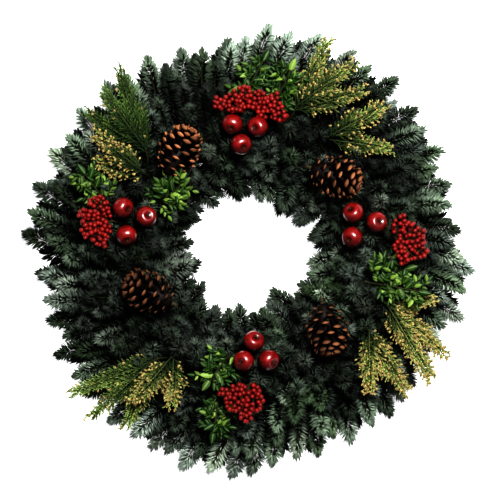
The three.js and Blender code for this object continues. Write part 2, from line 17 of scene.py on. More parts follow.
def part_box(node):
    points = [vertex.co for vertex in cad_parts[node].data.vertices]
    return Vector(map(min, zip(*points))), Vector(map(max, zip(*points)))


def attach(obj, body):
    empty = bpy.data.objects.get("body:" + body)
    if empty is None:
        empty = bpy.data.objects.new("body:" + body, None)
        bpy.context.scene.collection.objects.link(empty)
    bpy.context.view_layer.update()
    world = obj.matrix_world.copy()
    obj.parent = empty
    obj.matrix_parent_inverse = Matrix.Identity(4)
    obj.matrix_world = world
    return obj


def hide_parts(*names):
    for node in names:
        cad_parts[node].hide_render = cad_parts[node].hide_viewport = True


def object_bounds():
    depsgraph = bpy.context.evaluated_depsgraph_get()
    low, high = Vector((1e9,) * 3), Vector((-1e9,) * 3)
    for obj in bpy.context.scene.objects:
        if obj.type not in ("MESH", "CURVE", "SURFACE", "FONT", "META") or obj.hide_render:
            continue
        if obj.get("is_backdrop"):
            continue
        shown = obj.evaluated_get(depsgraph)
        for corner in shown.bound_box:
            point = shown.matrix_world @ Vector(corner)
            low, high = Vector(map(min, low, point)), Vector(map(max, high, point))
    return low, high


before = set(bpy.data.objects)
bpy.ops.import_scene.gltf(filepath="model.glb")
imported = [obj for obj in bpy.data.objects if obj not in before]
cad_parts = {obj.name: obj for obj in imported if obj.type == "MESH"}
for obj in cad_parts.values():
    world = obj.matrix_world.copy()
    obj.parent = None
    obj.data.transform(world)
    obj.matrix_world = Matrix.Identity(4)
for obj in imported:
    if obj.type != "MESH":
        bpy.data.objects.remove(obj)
packed_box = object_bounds()

bl_info = {
    "name": "Evergreen wreath",
    "version": (1, 0, 0),
    "blender": (4, 5, 0),
    "location": "View3D > Sidebar > Wreath",
    "description": "Dresses a packed wreath frame with fir, cedar, leaves, cones, apples and berries",
    "category": "Object",
}

# ---------- layout of the ring, in millimetres and degrees ----------

MM = 0.001
BUNCHES = 16
PITCH = 360 / BUNCHES
SWIRL = 0.3  # how fast the foliage leans clockwise away from the ring
RING = 170
INNER_RAIL = 152
OUTER_RAIL = 188
RAIL_SEGMENTS = BUNCHES * 2
RAIL_HALF = 2
WIRE_HALF = 1.75
CLAMP_HALF = 1.5
CLAMP_SHOULDER = 9
CLAMP_TOP = 17.76
HUB_HEIGHT = 9.764  # middle of the cut stems
SEAT_GAP = 0.3

# How far each bunch reaches from the middle of the hole, and how near to it.
REACH = [328, 311, 322, 332, 334, 314, 326, 328, 332, 312, 320, 322, 330, 314, 316, 310]
INNER_REACH = [88, 88, 80, 70, 78, 79, 84, 88, 86, 76, 81, 92, 79, 84, 64, 86]
TIP_NEEDLES = 8
OPEN_BUNCHES = [1, 5, 9, 13]
BLUE_BUNCHES = [0, 2, 4, 6, 7, 9, 11, 12, 14]
# Bunches whose needles are painted darker, as painted shade, or lighter, as painted light.
SHADE_PAINTED_BUNCHES = [2, 3, 5, 8, 10]
LIGHT_PAINTED_BUNCHES = [0, 13, 15]
# Bunches painted lighter, or darker, between the ring and the rim, and painted lighter by the hole: painted
# light and painted shade.
LIT_MIDDLES = [8, 10, 12, 13]
SHADED_MIDDLES = [0, 2, 7, 14]
LIT_HEARTS = [0, 2, 3, 4, 5, 15]
# How much lighter or darker bunches' needles are painted, as painted light and painted shade.
SHADE_PAINTED, EVENLY_PAINTED, LIGHT_PAINTED = 0.64, 0.98, 1.35
SHADED, LIT, LIT_HEART = 0.62, 2.7, 1.7

ring_low, ring_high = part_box("wire_ring")
MIDDLE = np.array([(ring_low.x + ring_high.x) / 2, (ring_low.y + ring_high.y) / 2, 0])


def place(radius, bearing, height):
    """A point in metres, from the middle of the hole, at a bearing counterclockwise from +X."""
    turn = math.radians(bearing)
    return MIDDLE + MM * np.array([radius * math.cos(turn), radius * math.sin(turn), height])


def lean(radius):
    """How far the foliage has leaned clockwise at a radius."""
    return math.degrees(SWIRL * abs(math.log(radius / RING)))


def leaning(radius, bearing, aside, height):
    """A place beside the leaning middle line that leaves the ring at a bearing."""
    return place(radius, bearing + aside - lean(radius), height)


def corridor(number, radius):
    """The bearing of the gap after a bunch, at a radius."""
    return (number + 0.5) * PITCH - lean(radius)


def rail_radius(rail, bearing):
    """How far a rail of straight segments is from the middle at a bearing."""
    segment = 360 / RAIL_SEGMENTS
    from_middle = bearing % segment - segment / 2
    return rail * math.cos(math.radians(segment / 2)) / math.cos(math.radians(from_middle))


MODULUS = 2147483647
MULTIPLIER = 16807


def seeded(seed):
    """A draw from low to high, the same on every run."""
    state = [seed]

    def draw(low, high):
        state[0] = (state[0] * MULTIPLIER) % MODULUS
        return low + (high - low) * state[0] / MODULUS

    return draw


def smoothstep(share, low, high):
    x = min(max((share - low) / (high - low), 0), 1)
    return x * x * (3 - 2 * x)


def unit(vector):
    return vector / np.linalg.norm(vector)


def lerp(a, b, share):
    return a + (b - a) * share


def turned(vector, axis, degrees):
    """A vector turned round an axis."""
    return np.array(Matrix.Rotation(math.radians(degrees), 3, Vector(axis)) @ Vector(vector))


def colour(name, description, *channels):
    """A linear colour that a user can change."""
    look = {"subtype": "COLOR", "size": 4, "min": 0, "max": 1}
    return FloatVectorProperty(name=name, description=description, default=(*channels, 1), **look)


def metres(name, description, default):
    """A size in metres that a user can change."""
    return FloatProperty(name=name, description=description, default=default, unit="LENGTH")


class WreathGreens(bpy.types.PropertyGroup):
    """Sizes and colours of the fir, the cedar and the leaves."""

    needle_length: metres("Needle length", "Length of a fir needle", 0.0205)
    needle_width: metres("Needle width", "Width of a fir needle", 0.0017)
    needle_spacing: metres("Needle spacing", "Length of twig for each needle", 0.00025)
    scale_length: metres("Scale length", "Length of a cedar's scale leaf", 0.0036)
    leaf_length: metres("Leaf length", "Length of an oval leaf", 0.023)
    leaf_width: metres("Leaf width", "Width of an oval leaf", 0.0115)
    deep_green: colour("Deep fir", "Colour of green fir needles", 0.042, 0.070, 0.030)
    blue_green: colour("Blue fir", "Colour of bluish fir needles", 0.160, 0.190, 0.165)
    pale_green: colour("Pale fir", "Colour of needles that show their pale side", 0.265, 0.300, 0.245)
    # Cedar colours run from near black, painted shade deep in a frond, to the tip colours, partly young
    # scales and partly painted light.
    cedar_green: colour("Cedar", "Colour of the cedar's older scales", 0.005, 0.016, 0.003)
    cedar_tip: colour("Cedar tip", "Colour of the cedar's youngest scales", 0.275, 0.315, 0.110)
    cedar_leafy: colour("Leafy cedar tip", "Colour of young scales on green sprays", 0.110, 0.230, 0.055)
    pollen_gold: colour("Pollen", "Colour of the cedar's pollen tips", 0.280, 0.228, 0.095)
    leaf_green: colour("Leaf", "Colour of the oval leaves", 0.008, 0.027, 0.004)
    leaf_young: colour("Young leaf", "Colour of the lightest leaves", 0.190, 0.275, 0.065)


class WreathTrimmings(bpy.types.PropertyGroup):
    """Sizes and colours of the cones, the apples and the berries."""

    berry_radius: metres("Berry radius", "Half a berry's width", 0.0036)
    apple_radius: metres("Apple radius", "Half an apple's width", 0.0152)
    # The cone's dark colour is painted shade between its scales and on its core, and also darkens its grain.
    cone_dark: colour("Cone", "Colour deep between a cone's scales", 0.006, 0.003, 0.002)
    cone_brown: colour("Cone scale", "Colour of a scale's outer end", 0.215, 0.096, 0.046)
    # The apple's bright side is its side painted lit; apple_shade is also the colour of its side painted in
    # shade, besides its streaks.
    apple_red: colour("Apple", "Colour of an apple's bright side", 0.155, 0.006, 0.006)
    apple_shade: colour("Apple shade", "Colour of the streaks and of the dimples", 0.022, 0.001, 0.001)
    berry_red: colour("Berry", "Colour of the berries", 0.172, 0.007, 0.005)


class WreathStudio(bpy.types.PropertyGroup):
    """The ground, the lamp, the surround and the camera."""

    lens: FloatProperty(name="Lens", description="Focal length in millimetres", default=200, min=20)
    picture_width: metres("Picture width", "Width that the picture shows at the foliage's height", 0.7235)
    key_power: FloatProperty(name="Key lamp", description="Power of the soft lamp", default=125, unit="POWER")
    sky_strength: FloatProperty(name="Sky", description="Strength of the surround", default=0.2, min=0)
    table_glow: FloatProperty(name="Light table", description="The ground's own glow", default=0.65, min=0)
    ground: colour("Ground", "Colour of the ground", 0.90, 0.90, 0.91)


# ---------- node trees ----------


class Wiring:
    """Adds nodes to a tree, with a value or another node's output for each input that matters."""

    def __init__(self, tree):
        self.tree = tree

    def __call__(self, kind, inputs=(), **settings):
        node = self.tree.nodes.new(kind)
        for key, value in settings.items():
            setattr(node, key, value)
        for key, value in dict(inputs).items():
            if isinstance(value, bpy.types.NodeSocket):
                self.tree.links.new(value, node.inputs[key])
            else:
                node.inputs[key].default_value = value
        return node

    def math(self, operation, *values):
        return self("ShaderNodeMath", enumerate(values), operation=operation).outputs[0]

    def times(self, first, second):
        return self.math("MULTIPLY", first, second)

    def vector(self, operation, *values):
        return self("ShaderNodeVectorMath", enumerate(values), operation=operation).outputs[0]

    def scaled(self, vector, factor):
        return self("ShaderNodeVectorMath", {0: vector, "Scale": factor}, operation="SCALE").outputs[0]

    def eased(self, value, *ends, smooth="SMOOTHSTEP"):
        """The last two ends, blended as a value goes from the first end to the second."""
        return self("ShaderNodeMapRange", enumerate((value, *ends)), interpolation_type=smooth).outputs[0]

    def held(self, name, kind="FLOAT"):
        """A value that the geometry holds."""
        return self("GeometryNodeInputNamedAttribute", {"Name": name}, data_type=kind).outputs[0]

    def stored(self, geometry, name, value, kind="FLOAT"):
        inputs = {0: geometry, "Name": name, 3: value}
        return self("GeometryNodeStoreNamedAttribute", inputs, data_type=kind).outputs[0]

    def chance(self, low, high, seed, step):
        """A random number from a seed some steps on."""
        inputs = {2: low, 3: high, "Seed": self.math("ADD", seed, step)}
        return self("FunctionNodeRandomValue", inputs, data_type="FLOAT").outputs[1]

    def copies(self, points, shape, aim, upper, scale):
        """A shape on each point, turned to its aim and upper side."""
        turn = self("FunctionNodeAxesToRotation", {0: aim, 1: upper}, primary_axis="X", secondary_axis="Z")
        return self("GeometryNodeInstanceOnPoints", {
            "Points": points, "Instance": self("GeometryNodeObjectInfo", {0: shape}).outputs["Geometry"],
            "Rotation": turn.outputs[0], "Scale": scale,
        }).outputs[0]

    def painted(self, geometry, finish, chosen=True):
        inputs = {0: geometry, "Selection": chosen, "Material": finish}
        return self("GeometryNodeSetMaterial", inputs).outputs[0]


def geometry_tree(name, sockets):
    """A Geometry Nodes tree with named inputs of each kind, its wiring and the outputs of its inputs."""
    tree = bpy.data.node_groups.new(name, "GeometryNodeTree")
    tree.interface.new_socket("Geometry", in_out="OUTPUT", socket_type="NodeSocketGeometry")
    for kind, labels in sockets.items():
        for label in labels:
            tree.interface.new_socket(label, in_out="INPUT", socket_type="NodeSocket" + kind)
    put = Wiring(tree)
    return tree, put, put("NodeGroupInput").outputs


def bristled_twigs_tree():
    """Round twigs along the edges of a mesh, with a shape that bristles from them in a spiral.

    The mesh's points hold each twig's girth, the share of it where the bristles begin, their size, and how
    flat they lie to both sides of it. No bristle dips under the ground."""
    tree, put, given = geometry_tree("bristled_twigs", {
        "Geometry": ["Twigs"],
        "Object": ["Bristle"],
        "Float": ["Spacing", "Length", "Width", "Spiral", "Sweep", "Tip Sweep", "Tip Reach", "Tip Length",
                  "Unevenness", "Lift"],
        "Int": ["Seed"],
        "Material": ["Bristle Finish", "Twig Finish"],
    })
    seed = given["Seed"]
    curves = put("GeometryNodeMeshToCurve", {0: given["Twigs"]}).outputs[0]
    share = put("GeometryNodeSplineParameter").outputs["Factor"]
    length = put("GeometryNodeSplineLength").outputs["Length"]
    measured = put.stored(curves, "share", share)
    measured = put.stored(measured, "left", put.times(length, put.math("SUBTRACT", 1.0, share)))

    stood = put("GeometryNodeCurveToPoints", {0: measured, "Length": given["Spacing"]}, mode="LENGTH")
    inputs = {0: put.held("share"), 1: put.held("begin")}
    bare = put("FunctionNodeCompare", inputs, operation="LESS_THAN").outputs[0]
    rooted = put("GeometryNodeDeleteGeometry", {0: stood.outputs[0], 1: bare}, domain="POINT").outputs[0]
    shaded = put.stored(rooted, "shade", put.chance(0.0, 1.0, seed, 0))

    along = stood.outputs["Tangent"]
    side = put.vector("NORMALIZE", put.vector("CROSS_PRODUCT", (0, 0, 1), along))
    up = put.vector("CROSS_PRODUCT", along, side)
    loose = given["Unevenness"]
    wobble = put.chance(put.times(loose, -1.0), loose, seed, 1)
    index = put("GeometryNodeInputIndex").outputs[0]
    angle = put.math("ADD", put.times(index, given["Spiral"]), wobble)
    full = put.math("SUBTRACT", 1.0, put.held("flat"))
    rise = put.math("ADD", put.times(put.math("SINE", angle), full), given["Lift"])
    sideways = put.scaled(side, put.math("COSINE", angle))
    outward = put.vector("NORMALIZE", put.vector("ADD", sideways, put.scaled(up, rise)))

    closing = put.eased(put.held("left"), 0.0, given["Tip Reach"], 1.0, 0.0, smooth="LINEAR")
    nod = put.chance(put.times(loose, -0.5), put.times(loose, 0.5), seed, 2)
    closed = put.math("SUBTRACT", given["Tip Sweep"], given["Sweep"])
    sweep = put.math("ADD", put.math("MULTIPLY_ADD", closing, closed, given["Sweep"]), nod)
    away = put.scaled(outward, put.math("COSINE", sweep))
    aim = put.vector("ADD", away, put.scaled(along, put.math("SINE", sweep)))

    shorter = put.math("MULTIPLY_ADD", closing, put.math("SUBTRACT", given["Tip Length"], 1.0), 1.0)
    size = put.times(put.times(shorter, put.chance(0.74, 1.12, seed, 3)), put.held("size"))
    reach = put.times(given["Length"], size)
    height = put("ShaderNodeSeparateXYZ", {0: put("GeometryNodeInputPosition").outputs[0]}).outputs[2]
    lowest = put.math("DIVIDE", put.times(height, -0.93), reach)
    parts = put("ShaderNodeSeparateXYZ", {0: aim}).outputs
    level = put.math("MAXIMUM", parts[2], lowest)
    compass = put.vector("NORMALIZE", put("ShaderNodeCombineXYZ", {0: parts[0], 1: parts[1]}).outputs[0])
    left_over = put.math("MULTIPLY_ADD", level, put.times(level, -1.0), 1.0)
    run = put.math("SQRT", put.math("MAXIMUM", left_over, 0.0))
    clear = put.vector("ADD", put.scaled(compass, run), put.scaled((0, 0, 1), level))
    scale = put("ShaderNodeCombineXYZ", {0: reach, 1: given["Width"], 2: given["Width"]}).outputs[0]
    bristles = put.copies(shaded, given["Bristle"], clear, up, scale)

    ring = put("GeometryNodeCurvePrimitiveCircle", {"Resolution": 6, "Radius": 1.0}).outputs[0]
    inputs = {0: measured, 1: ring, "Scale": put.held("girth"), "Fill Caps": True}
    wood = put.stored(put("GeometryNodeCurveToMesh", inputs).outputs[0], "wood", True, "BOOLEAN")
    both = put("GeometryNodeJoinGeometry")
    tree.links.new(bristles, both.inputs[0])
    tree.links.new(wood, both.inputs[0])
    real = put("GeometryNodeRealizeInstances", {0: both.outputs[0]}).outputs[0]
    green = put.painted(real, given["Bristle Finish"])
    put("NodeGroupOutput", {0: put.painted(green, given["Twig Finish"], put.held("wood", "BOOLEAN"))})
    return tree


def settled_shapes_tree():
    """A shape set on each point of a mesh, whose points hold its aim, its upper side and its size."""
    tree, put, given = geometry_tree("settled_shapes", {
        "Geometry": ["Points"], "Object": ["Shape"], "Float": ["Unevenness"], "Int": ["Seed"],
        "Material": ["Finish"],
    })
    loose = given["Unevenness"]
    shaded = put.stored(given["Points"], "shade", put.chance(0.0, 1.0, given["Seed"], 0))
    fresh = put.chance(put.math("SUBTRACT", 1.0, loose), put.math("ADD", 1.0, loose), given["Seed"], 1)
    aim, upper, extent = (put.held(name, "FLOAT_VECTOR") for name in ("aim", "upper", "extent"))
    copies = put.copies(shaded, given["Shape"], aim, upper, put.scaled(extent, fresh))
    real = put("GeometryNodeRealizeInstances", {0: copies}).outputs[0]
    put("NodeGroupOutput", {0: put.painted(real, given["Finish"])})
    return tree


_kept = {}


def kept(name, make):
    """A tree, a shape or a finish that is made once and shared."""
    if name not in _kept:
        _kept[name] = make()
    return _kept[name]


def grown(source, make_tree, values):
    """The plain mesh that a tree makes of a source mesh."""
    tree = kept(make_tree.__name__, make_tree)
    host = bpy.data.objects.new("source", source)
    bpy.context.scene.collection.objects.link(host)
    growth = host.modifiers.new("growth", "NODES")
    growth.node_group = tree
    sockets = {item.name: item.identifier for item in tree.interface.items_tree if item.in_out == "INPUT"}
    for name, value in values.items():
        growth[sockets[name]] = value
    view = bpy.context.evaluated_depsgraph_get()
    evaluated = host.evaluated_get(view)
    made = bpy.data.meshes.new_from_object(evaluated, preserve_all_data_layers=True, depsgraph=view)
    bpy.data.objects.remove(host)
    bpy.data.meshes.remove(source)
    return made


# ---------- plain meshes ----------


def write_values(mesh, name, values, kind="FLOAT"):
    """One value or vector for each point of a mesh."""
    layer = mesh.attributes.new(name, kind, "POINT")
    field = "vector" if kind == "FLOAT_VECTOR" else "value"
    layer.data.foreach_set(field, np.asarray(values, np.float32).ravel())

def lofted(name, rings, values=None, finish=None):
    """A closed mesh through rings of as many points each, where a first or last ring may be one point.

    Values are one number for each ring, kept as the attribute along."""
    counts = [len(ring) for ring in rings]
    starts = np.cumsum([0, *counts]).tolist()
    faces = []
    for a, b, here, there in zip(starts, starts[1:], counts, counts[1:]):
        around = max(here, there)
        for s in range(around):
            n = (s + 1) % around
            if here == 1:
                faces.append((a, b + n, b + s))
            elif there == 1:
                faces.append((a + s, a + n, b))
            else:
                faces.append((a + s, a + n, b + n, b + s))
    if counts[0] > 1:
        faces.append(tuple(reversed(range(counts[0]))))
    if counts[-1] > 1:
        faces.append(tuple(range(*starts[-2:])))
    mesh = bpy.data.meshes.new(name)
    mesh.from_pydata([tuple(point) for ring in rings for point in ring], [], faces)
    shares = np.linspace(0, 1, len(rings)) if values is None else values
    write_values(mesh, "along", np.repeat(shares, counts))
    mesh.shade_smooth()
    if finish:
        mesh.materials.append(finished(finish))
    return mesh


def rings_along(points, radii, sides):
    """Round rings across a path, turned no more than the path turns."""
    points = np.asarray(points)
    ahead = np.vstack([points[1:], points[-1:]])
    behind = np.vstack([points[:1], points[:-1]])
    tangents = [unit(t) for t in ahead - behind]
    steep = abs(tangents[0][2]) > 0.9
    side = unit(np.cross((1.0, 0.0, 0.0) if steep else (0.0, 0.0, 1.0), tangents[0]))
    turns = 2 * np.pi * np.arange(sides) / sides
    rings = []
    for point, tangent, radius in zip(points, tangents, np.broadcast_to(radii, len(points))):
        side = unit(side - tangent * side.dot(tangent))
        up = np.cross(tangent, side)
        rings.append(point + radius * (np.outer(np.cos(turns), side) + np.outer(np.sin(turns), up)))
    return rings


def tube(points, radius, finish, sides=10):
    """A round rod through points given in metres."""
    return lofted("rod", rings_along(points, radius, sides), finish=finish)


def rounded(points):
    """An open path with its corners cut round."""
    path = np.asarray(points)
    for _ in range(2):
        here, there = path[:-1], path[1:]
        pairs = np.stack([lerp(here, there, 0.25), lerp(here, there, 0.75)], axis=1)
        path = np.vstack([path[:1], pairs.reshape(-1, 3), path[-1:]])
    return path


def joined(name, meshes):
    """One object of several plain meshes, with their materials and values kept."""
    parts = [bpy.data.objects.new(name, mesh) for mesh in meshes]
    for part in parts:
        bpy.context.scene.collection.objects.link(part)
    if len(parts) > 1:
        with bpy.context.temp_override(active_object=parts[0], selected_editable_objects=parts):
            bpy.ops.object.join()
    return parts[0]


def dress(node, meshes):
    """One finished piece that stands for a node of the frame and rides with it."""
    piece = joined(f"{node}_dressed", meshes)
    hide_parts(node)
    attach(piece, "root")
    return piece


# light: painted light, how much lighter or darker a twig's needles are painted for the light that falls on
# them.
Twig = namedtuple("Twig", "points girth begin size tone pale flat light")


def twig_mesh(twigs):
    """Edges along every twig, with the values that it gives to its wood and its bristles."""
    mesh = bpy.data.meshes.new("twigs")
    counts = [len(twig.points) for twig in twigs]
    ends = np.cumsum(counts)
    edges = [(i, i + 1) for start, end in zip(ends - counts, ends) for i in range(start, end - 1)]
    mesh.from_pydata([tuple(p) for twig in twigs for p in twig.points], edges, [])
    for name in ("girth", "begin", "size", "tone", "pale", "flat", "light"):
        values = [np.broadcast_to(getattr(twig, name), n) for twig, n in zip(twigs, counts)]
        write_values(mesh, name, np.concatenate(values))
    return mesh


def bristled(twigs, bristle, finishes, seed, values):
    """Twigs with copies of a shape that bristle from them."""
    given = {"Bristle": shape(bristle), "Seed": seed}
    given.update(zip(("Bristle Finish", "Twig Finish"), map(finished, finishes)))
    return grown(twig_mesh(twigs), bristled_twigs_tree, {**given, **values})


def settled(name, finish, points, aims, uppers, extents, seed, tones=0, unevenness=0.0):
    """Copies of a shape at points, each with its own aim, upper side and extent."""
    mesh = bpy.data.meshes.new("points")
    mesh.from_pydata([tuple(p) for p in points], [], [])
    for label, vectors in (("aim", aims), ("upper", uppers), ("extent", extents)):
        write_values(mesh, label, np.broadcast_to(vectors, (len(points), 3)), "FLOAT_VECTOR")
    write_values(mesh, "tone", np.broadcast_to(tones, len(points)))
    values = {"Shape": shape(name), "Unevenness": unevenness, "Seed": seed, "Finish": finished(finish)}
    return grown(mesh, settled_shapes_tree, values)


# ---------- finishes ----------
#
# Each gives a colour, a height, the strength of its bump and perhaps a roughness.


def tint(name):
    """A colour that the user can change."""
    scene = bpy.context.scene
    group = scene.wreath_greens if hasattr(scene.wreath_greens, name) else scene.wreath_trimmings
    return tuple(getattr(group, name))


def surface_value(put, name):
    return put("ShaderNodeAttribute", attribute_type="GEOMETRY", attribute_name=name).outputs["Fac"]


def blended(put, factor, first, second):
    return put("ShaderNodeMix", {0: factor, 6: first, 7: second}, data_type="RGBA").outputs[2]


def noise(put, scale, detail=2.0):
    """Noise on the piece's own coordinates, with a scale for each metre."""
    where = put("ShaderNodeTexCoord").outputs["Object"]
    return put("ShaderNodeTexNoise", {"Vector": where, "Scale": scale, "Detail": detail}).outputs[0]


def varied(put, spread, low):
    """How light a copy of a shape is beside the others."""
    return put.math("MULTIPLY_ADD", surface_value(put, "shade"), spread, low)


def fir_needle(put):
    """Waxy needles in the green, blue or pale tone of their shoot, with painted shade at their foot and away
    from the shoot's tip, and the shoot's painted light.
    """
    along, left = surface_value(put, "along"), surface_value(put, "left")
    green = blended(put, surface_value(put, "tone"), tint("deep_green"), tint("blue_green"))
    green = blended(put, surface_value(put, "pale"), green, tint("pale_green"))
    # Painted shade darkens each needle's foot; young paints light on the last centimetre of a shoot and shade
    # further in; light is the twig's painted light.
    light = put.times(put.eased(along, 0.0, 1.0, 0.55, 1.15), varied(put, 0.8, 0.6))
    young = put.eased(left, 0.012, 0.055, 1.16, 0.16)
    light = put.times(put.times(light, young), surface_value(put, "light"))
    heart = put.times(put.eased(along, 0.0, 0.5, 0.8, 0.0), put.eased(left, 0.0, 0.03, 1.0, 0.4))
    green = blended(put, heart, green, (0.20, 0.20, 0.08, 1))
    bloom = noise(put, 900)
    base = blended(put, put.times(bloom, 0.1), put.scaled(green, light), tint("blue_green"))
    return base, bloom, 0.25, put.eased(bloom, 0.0, 1.0, 0.38, 0.68, smooth="LINEAR")


def cedar_scale(put):
    """Scale leaves, near black as painted shade deep in a frond, brighter and yellower towards its ends:
    partly young scales, partly painted light.
    """
    young = blended(put, surface_value(put, "pale"), tint("cedar_tip"), tint("cedar_leafy"))
    green = blended(put, surface_value(put, "tone"), tint("cedar_green"), young)
    return put.scaled(green, varied(put, 0.6, 0.7)), noise(put, 1500), 0.3


def cedar_pollen(put):
    """Golden pollen tips with brown between their scales."""
    grains = noise(put, 1100, 3)
    between = put.eased(grains, 0.38, 0.56, 0.0, 1.0)
    gold = blended(put, between, (0.075, 0.038, 0.010, 1), tint("pollen_gold"))
    return put.scaled(gold, varied(put, 0.8, 0.6)), grains, 0.6


def oval_leaf(put):
    """Glossy oval leaves with a light midrib and faint veins."""
    # The leaf's tone is partly its age and partly painted shade and light from its sprig.
    green = blended(put, surface_value(put, "tone"), tint("leaf_green"), tint("leaf_young"))
    rib = put.eased(surface_value(put, "rib"), 0.75, 1.0, 0.0, 0.22)
    base = blended(put, rib, green, (0.34, 0.50, 0.12, 1))
    veins = noise(put, 650, 3)
    return blended(put, put.times(veins, 0.45), base, tint("leaf_green")), veins, 0.35


def cone_scale(put):
    """Woody scales, painted near black as shade inside the cone and red-brown at their outer ends, lighter or
    darker by the cone's painted light.
    """
    outer = put.eased(surface_value(put, "along"), 0.78, 0.90, 0.0, 1.0)
    grain = noise(put, 700, 4)
    light = put.times(varied(put, 0.9, 0.5), surface_value(put, "tone"))
    base = blended(put, outer, tint("cone_dark"), put.scaled(tint("cone_brown")[:3], light))
    return blended(put, put.times(grain, 0.5), base, tint("cone_dark")), grain, 0.7


def apple_skin(put):
    """A lacquered red skin with darker streaks, painted shade in its deep dimples, and one side painted lit
    and the far side painted in shade.
    """
    mottle = noise(put, 160, 4)
    # Painted light and shade: bright red on the side turned to the key lamp, the shade colour on the far
    # side.
    ripe = put.eased(surface_value(put, "ripe"), -0.45, 0.75, 0.0, 1.0)
    red = blended(put, ripe, tint("apple_shade"), tint("apple_red"))
    base = blended(put, put.eased(mottle, 0.40, 0.75, 0.0, 0.6), red, tint("apple_shade"))
    # Painted shade in the dimples: they darken to a near black red.
    dimple = put.eased(surface_value(put, "dimple"), 0.15, 0.8, 0.0, 1.0)
    return blended(put, dimple, base, (0.045, 0.004, 0.003, 1)), mottle, 0.05


def berry_skin(put):
    """Smooth bright red berries with a little waxy mottling."""
    mottle = noise(put, 420)
    red = put.scaled(tint("berry_red")[:3], varied(put, 0.4, 0.75))
    return blended(put, put.times(mottle, 0.35), red, tint("apple_shade")), mottle, 0.08


def green_wire(put):
    """Dark green painted wire, with the paint a little worn."""
    wear = noise(put, 500, 4)
    worn = put.eased(wear, 0.62, 0.7, 0.0, 1.0)
    return blended(put, worn, (0.012, 0.036, 0.018, 1), (0.19, 0.19, 0.17, 1)), wear, 0.2


def white_ground(put):
    """Matt white paper with a faint grain, on a light table."""
    studio = bpy.context.scene.wreath_studio
    white = tuple(studio.ground)
    skin = put.tree.nodes["Principled BSDF"]
    skin.inputs["Emission Color"].default_value = white
    skin.inputs["Emission Strength"].default_value = studio.table_glow
    grain = noise(put, 300)
    return blended(put, grain, white, (*(0.985 * channel for channel in white[:3]), 1)), grain, 0.02


def grained(dark, light, scale, detail, strength):
    """A finish that goes from a dark to a light colour with a fine grain."""

    def grained_wood(put):
        grain = noise(put, scale, detail)
        return blended(put, grain, (*dark, 1), (*light, 1)), grain, strength

    return grained_wood


# Each finish: its nodes, then as many of the shader's constants as it sets.
CONSTANTS = ["Roughness", "Specular IOR Level", "Coat Weight", "Coat Roughness", "Metallic"]
FINISHES = {
    "fir_needle": (fir_needle, 0.5, 0.16),
    "twig_bark": (grained((0.018, 0.012, 0.006), (0.066, 0.045, 0.022), 420, 4, 0.6), 0.8, 0.2),
    "young_bark": (grained((0.009, 0.010, 0.004), (0.030, 0.034, 0.012), 600, 3, 0.5), 0.7, 0.2),
    "cut_wood": (grained((0.50, 0.36, 0.17), (0.72, 0.58, 0.34), 1400, 1, 0.2), 0.7, 0.2),
    "cedar_scale": (cedar_scale, 0.55, 0.2),
    "cedar_pollen": (cedar_pollen, 0.6, 0.3),
    "oval_leaf": (oval_leaf, 0.5, 0.22),
    "cone_scale": (cone_scale, 0.6, 0.2),
    "apple_skin": (apple_skin, 0.36, 0.4, 0.35, 0.2),
    "berry_skin": (berry_skin, 0.56, 0.3, 0.05, 0.15),
    "green_wire": (green_wire, 0.4, 0.5, 0.0, 0.03, 0.6),
    "white_ground": (white_ground, 0.9, 0.1),
}


def new_finish(name):
    """A material of the finish with a name."""
    material = bpy.data.materials.new(name)
    material.use_nodes = True
    put = Wiring(material.node_tree)
    inputs = material.node_tree.nodes["Principled BSDF"].inputs
    nodes, *constants = FINISHES[name]
    for label, value in zip(CONSTANTS, constants):
        inputs[label].default_value = value
    base, height, strength, *roughness = nodes(put)
    bump = put("ShaderNodeBump", {"Height": height, "Strength": strength, "Distance": 0.0004}).outputs[0]
    for label, output in zip(("Base Color", "Normal", "Roughness"), (base, bump, *roughness)):
        put.tree.links.new(output, inputs[label])
    return material


def finished(name):
    return kept(("finish", name), lambda: new_finish(name))


# ---------- small shapes that repeat, one unit long and wide ----------


def needle():
    """A slender needle with a keel under it, narrow at its foot and pointed."""
    return [[(0, 0, -0.1)], [(0.5, 0, -0.35), (0.5, 0.5, 0), (0.5, -0.5, 0)], [(1, 0, -0.05)]], None


def scale_leaf():
    """A pointed scale leaf, with a ridge along its outer side."""
    middle = [(0.45, 0, 0.35), (0.45, -0.5, 0), (0.45, 0, -0.12), (0.45, 0.5, 0)]
    return [[(0, 0, 0)], middle, [(1, 0, 0.12)]], None


def cone_scale_rings():
    """A woody scale that thickens to a keeled lozenge with a blunt point."""
    sections = [(0, 0.25, 0.10), (0.6, 0.5, 0.14), (0.88, 1.0, 0.34), (0.96, 0.74, 0.26), (1, 0.22, 0.10)]
    half = [(0.5, 0), (0.22, 0.3), (0, 0.5), (-0.22, 0.3)]
    outline = half + [(-y, -z) for y, z in half]
    rings = [[(along, wide * y, thick * z + 0.08 * along ** 3) for y, z in outline]
             for along, wide, thick in sections]
    return rings, [along for along, _, _ in sections]


def leaf_rings():
    """A pointed oval leaf, folded along its midrib and curled down."""
    rings = []
    for length in (0.0, 0.15, 0.4, 0.65, 0.86, 1.0):
        half = 0.5 * math.sin(math.pi * length ** 0.82) ** 0.85 if 0 < length < 1 else 0.015
        upper = [(length, side * half, 0.3 * abs(side) * half - 0.16 * length ** 2) for side in (1, 0, -1)]
        rings.append(upper + [(x, y, z - 0.03) for x, y, z in reversed(upper)])
    return rings, None


def ball(subdivisions):
    made = bmesh.new()
    bmesh.ops.create_icosphere(made, subdivisions=subdivisions, radius=1)
    mesh = bpy.data.meshes.new("ball")
    made.to_mesh(mesh)
    made.free()
    mesh.shade_smooth()
    return mesh


